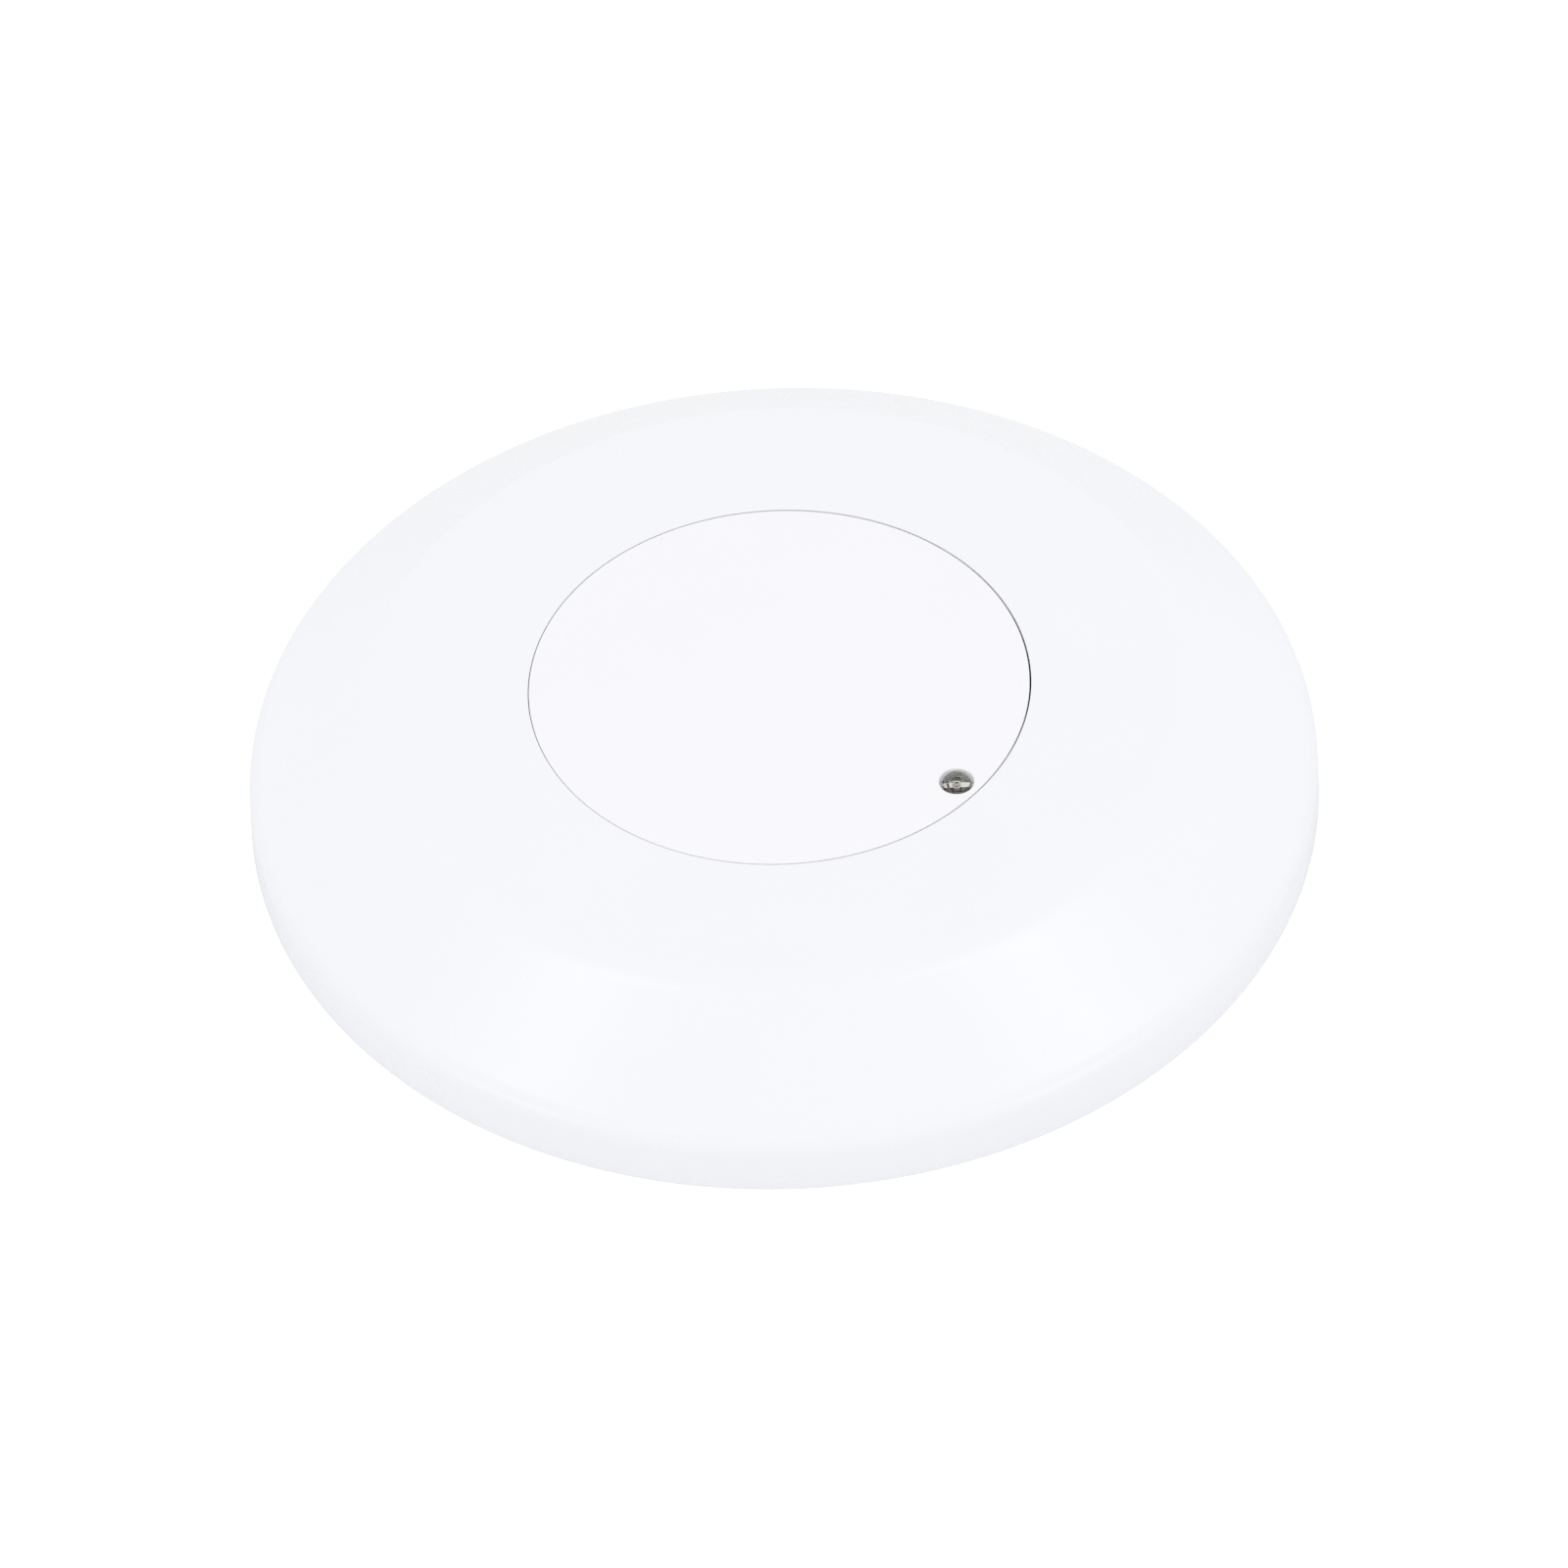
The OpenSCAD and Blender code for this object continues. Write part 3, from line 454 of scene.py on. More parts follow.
def handling_marks():
    """Marks that handling leaves: a mask of fine scratches and a mask of dull smudges."""
    name = "Handling marks"
    if name in bpy.data.node_groups:
        return bpy.data.node_groups[name]
    tree, start, end = group(
        name, [("Scratch Size", "NodeSocketFloat", 2.0), ("Amount", "NodeSocketFloat", 0.5)],
        [("Scratches", "NodeSocketFloat"), ("Smudges", "NodeSocketFloat")])
    place = node(tree, "ShaderNodeTexCoord").outputs["Object"]
    stretched = node(tree, "ShaderNodeMapping", {"Vector": place, "Rotation": (0.3, 0.5, 0.7), "Scale": (1, 14, 14)})
    scale = arithmetic(tree, "DIVIDE", 1 / MM, start.outputs["Scratch Size"])
    fine = node(tree, "ShaderNodeTexNoise", {"Vector": stretched.outputs[0], "Scale": scale, "Detail": 3.0})
    cut = node(tree, "ShaderNodeMapRange", {"Value": fine.outputs["Fac"], "From Min": 0.62, "From Max": 0.72})
    tree.links.new(arithmetic(tree, "MULTIPLY", cut.outputs[0], start.outputs["Amount"]), end.inputs["Scratches"])
    soft = node(tree, "ShaderNodeMapRange", {"Value": noise(tree, place, 9.0, 3.0), "From Min": 0.45, "From Max": 0.8})
    tree.links.new(arithmetic(tree, "MULTIPLY", soft.outputs[0], start.outputs["Amount"]), end.inputs["Smudges"])
    return tree


# ---------------------------------------------------------------- finishes

def shader(name, **constants):
    """A new material, its node tree and its Principled shader with plain values on its sockets."""
    made = bpy.data.materials.new(name)
    made.use_nodes = True
    tree = made.node_tree
    principled = tree.nodes["Principled BSDF"]
    for key, value in constants.items():
        principled.inputs[key.replace("_", " ")].default_value = value
    return made, tree, principled


def plastic(name, base, rough, pit=0.12, bump=0.4, mottle=0.012, peel=0.35, coat=0.0):
    """Moulded plastic: grained bump, and a faint mottle in colour and gloss."""
    made, tree, principled = shader(name, IOR=1.5, Coat_Weight=coat)
    grain = node(tree, "ShaderNodeGroup", node_tree=moulded_grain())
    grain.inputs["Pit Size"].default_value = pit
    grain.inputs["Peel Share"].default_value = peel
    dark = tuple(c * (1 - 2 * mottle) for c in base)
    tree.links.new(blend_colours(tree, grain.outputs["Mottle"], dark, base), principled.inputs["Base Color"])
    gloss = node(tree, "ShaderNodeMapRange", {"Value": grain.outputs["Gloss"], "From Min": 0.3, "From Max": 0.7,
                                              "To Min": rough - 0.05, "To Max": rough + 0.05})
    tree.links.new(gloss.outputs[0], principled.inputs["Roughness"])
    bumped = node(tree, "ShaderNodeBump", {"Height": grain.outputs["Height"], "Strength": bump, "Distance": 0.02 * MM})
    tree.links.new(bumped.outputs[0], principled.inputs["Normal"])
    return made


def metal(name, base, rough, scratch=1.5, amount=0.6, brushed=False):
    """Bare or plated metal: fine scratches and smudges change its gloss and darken it a little."""
    made, tree, principled = shader(name, Metallic=1.0)
    marks = node(tree, "ShaderNodeGroup", node_tree=handling_marks())
    marks.inputs["Scratch Size"].default_value = scratch
    marks.inputs["Amount"].default_value = amount
    dull = tuple(c * 0.72 for c in base)
    tree.links.new(blend_colours(tree, marks.outputs["Smudges"], base, dull), principled.inputs["Base Color"])
    gloss = node(tree, "ShaderNodeMath", {0: marks.outputs["Smudges"], 1: 0.22, 2: rough}, operation="MULTIPLY_ADD")
    tree.links.new(gloss.outputs[0], principled.inputs["Roughness"])
    bumped = node(tree, "ShaderNodeBump", {"Height": marks.outputs["Scratches"], "Strength": 0.5 if brushed else 0.25,
                                           "Distance": -0.01 * MM})
    tree.links.new(bumped.outputs[0], principled.inputs["Normal"])
    return made


def solder_mask(name, base):
    """Green lacquer over copper: ring-shaped and radial tracks show as a lighter green, a little raised."""
    made, tree, principled = shader(name, IOR=1.5, Coat_Weight=0.35, Coat_Roughness=0.12)
    place = node(tree, "ShaderNodeTexCoord").outputs["Object"]
    split = node(tree, "ShaderNodeSeparateXYZ", {"Vector": place})
    x, y = split.outputs["X"], split.outputs["Y"]
    square = arithmetic(tree, "ADD", arithmetic(tree, "MULTIPLY", x, x), arithmetic(tree, "MULTIPLY", y, y))
    r = arithmetic(tree, "SQRT", square)
    turn = arithmetic(tree, "ARCTAN2", y, x)
    sector = arithmetic(tree, "FLOOR", arithmetic(tree, "MULTIPLY", turn, 19 / (2 * math.pi)))
    lane = node(tree, "ShaderNodeTexWhiteNoise", {"W": sector}, noise_dimensions="1D").outputs["Value"]
    ring = arithmetic(tree, "FRACT", arithmetic(tree, "ADD", arithmetic(tree, "DIVIDE", r, 2.3 * MM), lane))
    arc = node(tree, "ShaderNodeMapRange", {"Value": arithmetic(tree, "ABSOLUTE", arithmetic(tree, "SUBTRACT", ring, 0.5)),
                                            "From Min": 0.17, "From Max": 0.15})
    spoke = arithmetic(tree, "FRACT", arithmetic(tree, "MULTIPLY", turn, 19 / (2 * math.pi)))
    via = node(tree, "ShaderNodeMapRange", {"Value": arithmetic(tree, "ABSOLUTE", arithmetic(tree, "SUBTRACT", spoke, 0.5)),
                                            "From Min": 0.06, "From Max": 0.05})
    track = arithmetic(tree, "MAXIMUM", arc.outputs[0], via.outputs[0])
    light = tuple(1.55 * c for c in base)
    tree.links.new(blend_colours(tree, track, base, light), principled.inputs["Base Color"])
    weave = noise(tree, place, 0.5, 2.0)
    height = arithmetic(tree, "ADD", track, arithmetic(tree, "MULTIPLY", weave, 0.25))
    bumped = node(tree, "ShaderNodeBump", {"Height": height, "Strength": 0.5, "Distance": 0.03 * MM})
    tree.links.new(bumped.outputs[0], principled.inputs["Normal"])
    tree.links.new(arithmetic(tree, "MULTIPLY_ADD", weave, 0.15, 0.28), principled.inputs["Roughness"])
    return made


def clear_epoxy(name):
    """Water-clear lens resin. Shadow and diffuse rays pass straight through, so what lies inside is lit."""
    made, tree, principled = shader(name, Base_Color=(0.97, 0.985, 0.98, 1), Roughness=0.01, IOR=1.53,
                                    Transmission_Weight=1.0)
    ray = node(tree, "ShaderNodeLightPath").outputs
    through = arithmetic(tree, "MAXIMUM", ray["Is Shadow Ray"], ray["Is Diffuse Ray"])
    clear = node(tree, "ShaderNodeBsdfTransparent")
    mixed = node(tree, "ShaderNodeMixShader", {0: through})
    tree.links.new(principled.outputs[0], mixed.inputs[1])
    tree.links.new(clear.outputs[0], mixed.inputs[2])
    tree.links.new(mixed.outputs[0], tree.nodes["Material Output"].inputs["Surface"])
    return made


def plain(name, base, rough, metallic=0.0, coat=0.0, speckle=0.08, size=0.6):
    """Lacquer, ceramic or paint with a faint speckle."""
    made, tree, principled = shader(name, Metallic=metallic, Coat_Weight=coat, Coat_Roughness=0.15)
    place = node(tree, "ShaderNodeTexCoord").outputs["Object"]
    grain = noise(tree, place, size, 3.0)
    dark = tuple(c * (1 - speckle) for c in base)
    tree.links.new(blend_colours(tree, grain, dark, base), principled.inputs["Base Color"])
    tree.links.new(arithmetic(tree, "MULTIPLY_ADD", grain, 0.12, rough - 0.06), principled.inputs["Roughness"])
    bumped = node(tree, "ShaderNodeBump", {"Height": grain, "Strength": 0.2, "Distance": 0.02 * MM})
    tree.links.new(bumped.outputs[0], principled.inputs["Normal"])
    return made


FINISHES = {
    "cover": lambda c: plastic("Cover white", c.cover, 0.24, pit=0.14, bump=0.28, mottle=0.006),
    "disc": lambda c: plastic("Disc paint", c.disc, 0.46, pit=0.22, bump=0.25, mottle=0.006, peel=0.6),
    "moulding": lambda c: plastic("Base moulding", c.moulding, 0.48, pit=0.2, bump=0.6, mottle=0.02),
    "brass": lambda c: metal("Stamped brass", c.brass, 0.26),
    "steel": lambda c: metal("Zinc steel", c.steel, 0.30, brushed=True),
    "tin": lambda c: metal("Tinned lead", c.tin, 0.18, amount=0.4),
    "solder": lambda c: metal("Solder", c.tin, 0.24, scratch=0.6, amount=0.8),
    "board": lambda c: solder_mask("Solder mask", c.board),
    "bronze": lambda c: metal("Bronze foil", c.bronze, 0.22, scratch=3.0, amount=0.5, brushed=True),
    "epoxy": lambda c: clear_epoxy("Clear epoxy"),
    "rubber": lambda c: plain("Gasket rubber", (0.022, 0.022, 0.024), 0.62, speckle=0.3, size=0.3),
    "black": lambda c: plain("Moulding compound", (0.018, 0.018, 0.020), 0.46, speckle=0.35, size=0.15),
    "blue": lambda c: plain("Blue dip", (0.02, 0.085, 0.33), 0.30, coat=0.4, size=1.2),
    "tan": lambda c: plain("Resistor lacquer", (0.60, 0.42, 0.21), 0.35, coat=0.3),
    "brown": lambda c: plain("Brown band", (0.11, 0.035, 0.012), 0.35, coat=0.3),
    "red": lambda c: plain("Red band", (0.42, 0.02, 0.012), 0.35, coat=0.3),
    "gold": lambda c: plain("Gold band", (0.55, 0.36, 0.10), 0.35, metallic=0.7, coat=0.3),
    "grey": lambda c: plain("Grey band", (0.55, 0.56, 0.57), 0.4),
    "ceramic": lambda c: plain("Capacitor ceramic", (0.34, 0.24, 0.15), 0.5, size=0.3),
    "nylon": lambda c: plain("Natural nylon", (0.78, 0.77, 0.71), 0.5, speckle=0.04),
    "red_die": lambda c: plain("Emitter die", (0.50, 0.06, 0.04), 0.4, size=0.1),
}


def material(finish):
    """The material of a finish, made once."""
    key = "Finish " + finish
    if key not in bpy.data.materials:
        made = FINISHES[finish](bpy.context.scene.detector_finishes)
        made.name = key
    return bpy.data.materials[key]


# ---------------------------------------------------------------- cover and disc

def cover_profile(s):
    """Closed half section of the cover: skirt, shoulder, cone, crease, flat face and the lip of the
    opening, then the same inside at the wall's thickness."""
    foot = np.array([s["cover_r"], s["skirt_gap"]])
    shoulder = np.array([s["cover_r"] - s["draft"], s["skirt_h"]])
    crease = np.array([shoulder[0] - s["cone_w"], s["height"]])
    middle = np.array([0.0, s["height"]])
    shoulder_in = inset(foot, shoulder, crease, s["wall"])
    crease_in = inset(shoulder, crease, middle, s["wall"])
    under = s["height"] - s["wall"]
    opening, lip = s["opening_r"], s["opening_r"] + 1.4
    return outline([
        (*foot, 0.3), (*shoulder, s["shoulder_r"]), (*crease, s["crease_r"]),
        (opening, s["height"], 0.06), (opening, under - 0.6, 0.1), (lip, under - 0.6, 0.2),
        (lip, under, 0.3), (*crease_in, s["crease_r"] - 1), (*shoulder_in, s["shoulder_r"] - s["wall"]),
        (s["cover_r"] - s["wall"], s["skirt_gap"], 0.3)], 14)


def clip_profile(s):
    """Half section of one cover clip: a leg down from the cover and a nose that points inward."""
    clip_in, thick, nose = 41.0, 1.2, 0.9
    top, grip = s["height"] - s["wall"] - 0.4, 6.5
    return outline([
        (clip_in, top, 0), (clip_in, grip, 0.15), (clip_in - nose, grip, 0.1),
        (clip_in - nose, grip - 0.3, 0.15), (clip_in + 0.2, grip - 0.9, 0.2),
        (clip_in + thick, grip - 0.9, 0.2), (clip_in + thick, top, 0)], 4)


class DETECTOR_OT_cover(Operator):
    """Build the moulded cover with its clips and stop posts"""
    bl_idname = "detector.cover"
    bl_label = "Cover"

    def execute(self, context):
        s = sizes()
        under = s["height"] - s["wall"]
        half = math.radians(5)
        patches = [lathe(cover_profile(s), context.scene.detector_studio.steps)]
        for k in range(3):
            patches.append(placed(turned_sector(clip_profile(s), -half, half, 9), 120 * k))
            post = outline([(0, 7.8, 0), (1.2, 7.8, 0.2), (1.2, under - 0.5, 0), (1.8, under + 0.1, 0), (0, under + 0.1, 0)], 4)
            patches.append(placed(lathe(post, 24), 120 * k + 60, 41.4))
            patches += [placed(bevelled(rectangle(11.5, 0.9, 0.2), under - 0.55, under + 0.1, 0.15), 120 * k + a, 34.0)
                        for a in (20, 100)]
        piece("cover_shell", patches, "cover", ["cover"], ["outer_cover"])
        return {"FINISHED"}


class DETECTOR_OT_disc(Operator):
    """Build the painted collector disc with the indicator's hole, its chamber wall and screw posts"""
    bl_idname = "detector.disc"
    bl_label = "Collector disc"

    def execute(self, context):
        s = sizes()
        x, y = s["led_pcr"] * math.cos(s["led_az"]), s["led_pcr"] * math.sin(s["led_az"])
        hole, top, under = s["led_r"] + s["led_gap"], s["height"], s["height"] - s["disc_t"]
        t = np.linspace(0, math.pi / 2, 7)
        edge, lip = 0.08, 0.22
        off = np.array([math.cos(DISC_LEAN), math.sin(DISC_LEAN)]) * s["disc_shift"]
        outer = [(*off, s["disc_r"] - edge * (1 - math.cos(a)), top - edge * (1 - math.sin(a))) for a in t]
        inner = [(x, y, hole + lip * (1 - math.sin(a)), top - lip * (1 - math.cos(a))) for a in t]
        levels = [(*off, s["disc_r"], under), *outer, *inner, (x, y, hole, under)]
        patches = [rings(levels, context.scene.detector_studio.steps)]
        wall = outline([(17.9, 12.2, 0.1), (19.8, 12.2, 0.1), (19.8, under + 0.05, 0), (17.9, under + 0.05, 0)], 4)
        patches.append(lathe(wall, 128))
        for azimuth in (30, 150, 270):
            post = outline([(0, 9.2, 0), (2.1, 9.2, 0.15), (2.1, under - 0.4, 0.3), (2.7, under + 0.05, 0), (0, under + 0.05, 0)], 4)
            patches.append(placed(lathe(post, 32), azimuth, 22.6))
        piece("disc_shell", patches, "module", ["disc"], ["collector_disc"])
        return {"FINISHED"}


# ---------------------------------------------------------------- indicator

def upright(patch):
    """A patch drawn in X and Y and raised along Z, stood up: X becomes Y, Y becomes Z and Z becomes X."""
    verts, faces, finish = patch
    return verts[:, [2, 0, 1]], faces, finish


class DETECTOR_OT_indicator(Operator):
    """Build the clear lens, the lead frame with its reflector cup, die and bond wire, and the spacer"""
    bl_idname = "detector.indicator"
    bl_label = "Indicator"

    def execute(self, context):
        s = sizes()
        azimuth, radius = math.degrees(s["led_az"]), s["led_pcr"]
        turn = -90 - azimuth  # the row of leads lies along X
        r, flange, seat, top = s["led_r"], s["led_r"] + 0.4, s["led_seat"], s["led_top"]
        dome = outline([(0, seat, 0), (flange, seat, 0.08), (flange, seat + 1, 0.12), (r, seat + 1, 0.12),
                        (r, top, r - 0.001), (0, top, 0)], 32)
        verts, quads, finish = lathe(dome, 96, closed=False)
        verts[:, 1] = np.minimum(verts[:, 1], r + 0.15)  # flat on the cathode's side of the flange
        lens = placed((verts, quads, finish), azimuth, radius, turn=turn)
        piece("lens", [lens], "module", ["epoxy"], ["led_lens"])

        low, crest = s["board_top"] - 1.4 - seat, 3.2
        cathode = outline([(1.05, low, 0.1), (1.5, low, 0.1), (1.5, 1.35, 0.15), (1.05, 1.9, 0.2), (1.05, crest, 0.04), (0.28, crest, 0.02), (0.28, crest - 0.42, 0.05),
                           (-0.28, crest - 0.42, 0.05), (-0.28, crest, 0.02), (-0.52, crest, 0.04), (-0.52, 2.5, 0.15), (-0.3, 1.5, 0.2), (0.4, 1.2, 0.2), (1.05, 0.95, 0.15)], 4)
        anode = outline([(-1.5, low, 0.1), (-1.05, low, 0.1), (-1.05, 0.95, 0.15), (-0.62, 1.5, 0.2), (-0.66, crest, 0.04),
                         (-1.1, crest, 0.04), (-1.1, 2.0, 0.2), (-1.5, 1.35, 0.15)], 4)
        blades = [upright(bevelled(blade, -0.22, 0.22, 0.04)) for blade in (cathode, anode)]
        blades = [(verts + [0, 0, seat], faces, finish) for verts, faces, finish in blades]
        cup = outline([(0.12, seat + crest - 0.4, 0.02), (0.27, seat + crest + 0.02, 0.02), (0.33, seat + crest + 0.02, 0.03),
                       (0.33, seat + crest - 0.5, 0.1), (0, seat + crest - 0.5, 0), (0, seat + crest - 0.4, 0)], 4)
        frame_parts = [placed(p, azimuth, radius, turn=turn) for p in (*blades, lathe(cup, 40))]
        piece("lead_frame", frame_parts, "module", ["tin"], ["led_leads"])
        die = bevelled(rectangle(0.2, 0.2, 0.02), seat + crest - 0.41, seat + crest - 0.3, 0.01)
        piece("emitter_die", [placed(die, azimuth, radius, turn=turn)], "module", ["red_die"])
        bond = bent_path([(0, 0, seat + crest - 0.32, 0), (0, -0.3, seat + crest + 0.45, 0.12), (0, -0.88, seat + crest, 0)])
        bond = sweep(bond, circle(0.02, 8), (1, 0, 0))
        piece("bond_wire", [placed(bond, azimuth, radius, turn=turn)], "module", ["brass"])
        spacer = outline([(0.5, s["board_top"], 0.05), (flange, s["board_top"], 0.1), (flange, seat, 0.1),
                          (0.5, seat, 0.05)], 4)
        piece("spacer", [placed(lathe(spacer, 48), azimuth, radius)], "module", ["nylon"], ["led_spacer"])
        bore, crown = r + s["led_gap"] / 2, s["height"] - s["disc_t"] - 0.2
        hood = outline([(bore, seat + 1, 0.05), (flange + 0.4, seat + 1, 0.1), (flange + 0.4, crown, 0.1), (bore, crown, 0.05)], 4)
        piece("hood", [placed(lathe(hood, 64), azimuth, radius)], "module", ["nylon"], ["led_hood"])
        return {"FINISHED"}


# ---------------------------------------------------------------- board components

PARTS_PCR = 33.0
RESISTORS = (22, 43, 110, 224.5, 245, 292)
DIODES = (152, 168, 198)
CAPACITORS = (66, 128, 306, 346)


def axial_leads(body_l, span, z, low):
    """Two bent wires of an axial part that lies along Y: out of the body, then down to the board."""
    return [sweep(bent_path([(0, s * (body_l / 2 - 0.2), z, 0), (0, s * span / 2, z, 0.5), (0, s * span / 2, low, 0)]),
                  circle(0.3, 12), (1, 0, 0), 1) for s in (-1, 1)]


def solder_joint(x, y, z, radius=0.8):
    """A pad with a concave cone of solder: its height falls with the cube of the way to its rim."""
    t = np.linspace(0, 1, 9)
    profile = np.column_stack([0.28 + (radius - 0.28) * t, z + 0.05 + 0.5 * (1 - t) ** 3])
    profile = np.concatenate([[[0, z + 0.58]], profile, [[radius, z], [0, z]]])
    return lathe(profile, 20, closed=False, centre=(x, y))


class DETECTOR_OT_resistors(Operator):
    """Build the axial resistors, each a lacquered body with flared ends, bands and bent leads"""
    bl_idname = "detector.resistors"
    bl_label = "Resistors"

    def execute(self, context):
        s = sizes()
        z, length = s["board_top"] + 1.25, 6.2
        bands = ((0.14, 2), (0.30, 3), (0.46, 2), (0.80, 4))
        t = np.linspace(0, 1, 51)
        profile = 0.92 + 0.23 * np.exp(-((t - 0.12) / 0.10) ** 2) + 0.23 * np.exp(-((t - 0.88) / 0.10) ** 2)
        profile = profile * np.clip(np.sqrt(1 - (np.abs(2 * t - 1)) ** 24), 0, 1)
        a = np.linspace(0, 2 * math.pi, 28, endpoint=False)
        r = profile[:, None]
        body = np.stack(np.broadcast_arrays(r * np.cos(a), (t[:, None] - 0.5) * length, z + r * np.sin(a)), -1)
        patches = []
        for azimuth in RESISTORS:
            verts, quads, _ = grid(body)
            row = np.arange(len(t) - 1).repeat(len(a))
            middle = (t[row] + t[row + 1]) / 2
            number = np.zeros(len(quads), int)
            for place, finish in bands:
                number[np.abs(middle - place) < 0.035] = finish
            for finish in np.unique(number):
                patches.append(placed((verts, quads[number == finish], int(finish)), azimuth, PARTS_PCR))
            patches += [placed(p, azimuth, PARTS_PCR) for p in axial_leads(length, 9.6, z, s["board_top"] - 0.2)]
        piece("banded_resistors", patches, "module", ["tan", "tin", "brown", "red", "gold"], ["resistors"])
        return {"FINISHED"}


class DETECTOR_OT_diodes(Operator):
    """Build the axial diodes with their cathode bands"""
    bl_idname = "detector.diodes"
    bl_label = "Diodes"

    def execute(self, context):
        s = sizes()
        z = s["board_top"] + 1.1
        patches = []
        for azimuth in DIODES:
            half = outline([(0, -2.1, 0), (1.0, -2.1, 0.2), (1.0, 2.1, 0.2), (0, 2.1, 0)], 5)
            band = outline([(0.99, 1.05, 0), (1.015, 1.05, 0), (1.015, 1.6, 0), (0.99, 1.6, 0)], 1)
            lying = []
            for profile, finish in ((half, 0), (band, 2)):
                verts, quads, _ = lathe(profile, 32, closed=finish == 2)
                lying.append((verts[:, [0, 2, 1]] * [1, 1, 1] + [0, 0, z], quads, finish))
            lying += axial_leads(4.2, 7.2, z, s["board_top"] - 0.2)
            patches += [placed(p, azimuth, PARTS_PCR, turn=90) for p in lying]
        piece("banded_diodes", patches, "module", ["black", "tin", "grey"], ["diodes"])
        return {"FINISHED"}


class DETECTOR_OT_chips(Operator):
    """Build the chip capacitors, rectifier, thyristor and surge suppressor"""
    bl_idname = "detector.chips"
    bl_label = "Other components"

    def execute(self, context):
        s = sizes()
        low = s["board_top"]
        patches = []
        for azimuth in CAPACITORS:
            body = bevelled(rectangle(1.6, 3.2, 0.12), low + 0.02, low + 1.2, 0.12)
            ends = [bevelled(rectangle(1.64, 0.55, 0.12, 0, y), low, low + 1.23, 0.12, 1) for y in (-1.34, 1.34)]
            patches += [placed(p, azimuth, PARTS_PCR - 4) for p in (body, *ends)]
        piece("chip_blocks", patches, "module", ["ceramic", "tin"], ["chip_capacitors"])

        body = slab(rectangle(6.4, 8.2, 0.3), [(low + 0.25, 0.25), (low + 1.4, 0.0), (low + 1.5, 0.0), (low + 2.5, 0.22), (low + 2.55, 0.3)])
        mark = placed(lathe(outline([(0, 0, 0), (0.5, 0, 0), (0.5, 0.03, 0.02), (0, 0.03, 0)], 2), 24), z=low + 2.54)
        mark = (mark[0] + [-2, 2.9, 0], mark[1], 2)
        foot = rectangle(0.22, 0.8, 0.05)
        legs = []
        for side in (-1, 1):
            for y in (-2.54, 2.54):
                path = bent_path([(side * 3.0, y, low + 1.45, 0), (side * 3.42, y, low + 1.45, 0.15), (side * 3.45, y, low - 0.1, 0)])
                legs.append(sweep(path, foot, (0, 1, 0), 1))
        piece("rectifier_block", [placed(p, 0, PARTS_PCR - 0.4) for p in (body, mark, *legs)], "module",
              ["black", "tin", "grey"], ["bridge_rectifier"])

        a = np.linspace(math.radians(-28), math.radians(208), 25)
        case = np.stack([2.3 * np.cos(a), 2.3 * np.sin(a)], 1)
        verts, faces, finish = bevelled(case, -2.3, 2.3, 0.15)
        lying = (verts[:, [2, 0, 1]] + [0, 0, low + 1.12], faces, finish)
        legs = [sweep(bent_path([(-2.2, y, low + 0.9, 0), (-3.2, y, low + 0.9, 0.3), (-3.9, y, low + 0.15, 0.3), (-4.3, y, low + 0.15, 0)]),
                      rectangle(0.4, 0.45, 0.05), (0, 1, 0), 1) for y in (-1.27, 0, 1.27)]
        piece("thyristor_case", [placed(p, 270, PARTS_PCR - 0.4) for p in (lying, *legs)], "module",
              ["black", "tin"], ["latch_thyristor"])

        dip = outline([(0, low + 0.1, 0), (3.3, low + 0.1, 0.9), (3.6, low + 1.4, 0.9), (3.2, low + 2.8, 1.0), (0, low + 2.8, 0)], 8)
        legs = [sweep(bent_path([(2.6, y, low + 1.2, 0), (4.1, y, low + 1.2, 0.4), (4.1, y, low - 0.2, 0)]), circle(0.3, 12), (0, 1, 0), 1)
                for y in (-1.8, 1.8)]
        piece("suppressor_disc", [placed(p, 180, PARTS_PCR - 0.6) for p in (lathe(dip, 48, closed=False), *legs)], "module",
              ["blue", "tin"], ["surge_suppressor"])
        return {"FINISHED"}


class DETECTOR_OT_solder(Operator):
    """Build the solder joints under every lead"""
    bl_idname = "detector.solder"
    bl_label = "Solder joints"

    def execute(self, context):
        s = sizes()
        low = s["board_top"]
        spots = [(a, PARTS_PCR, y, 0) for a in RESISTORS for y in (-4.8, 4.8)]
        spots += [(a, PARTS_PCR, x, 90) for a in DIODES for x in (-3.6, 3.6)]
        spots += [(a, PARTS_PCR - 4, y, 0) for a in CAPACITORS for y in (-1.75, 1.75)]
        patches = []
        for azimuth, radius, along, turn in spots:
            joint = solder_joint(0, along, low, 0.75)
            patches.append(placed(joint, azimuth, radius, turn=turn))
        for x, y in ((-3.45, -2.54), (-3.45, 2.54), (3.45, -2.54), (3.45, 2.54)):
            patches.append(placed(solder_joint(x, y, low), 0, PARTS_PCR - 0.4))
        for y in (-1.27, 0, 1.27):
            patches.append(placed(solder_joint(-4.3, y, low, 0.55), 270, PARTS_PCR - 0.4))
        for y in (-1.8, 1.8):
            patches.append(placed(solder_joint(4.1, y, low), 180, PARTS_PCR - 0.6))
        piece("solder_joints", patches, "module", ["solder"])
        return {"FINISHED"}


# ---------------------------------------------------------------- screws and metal parts

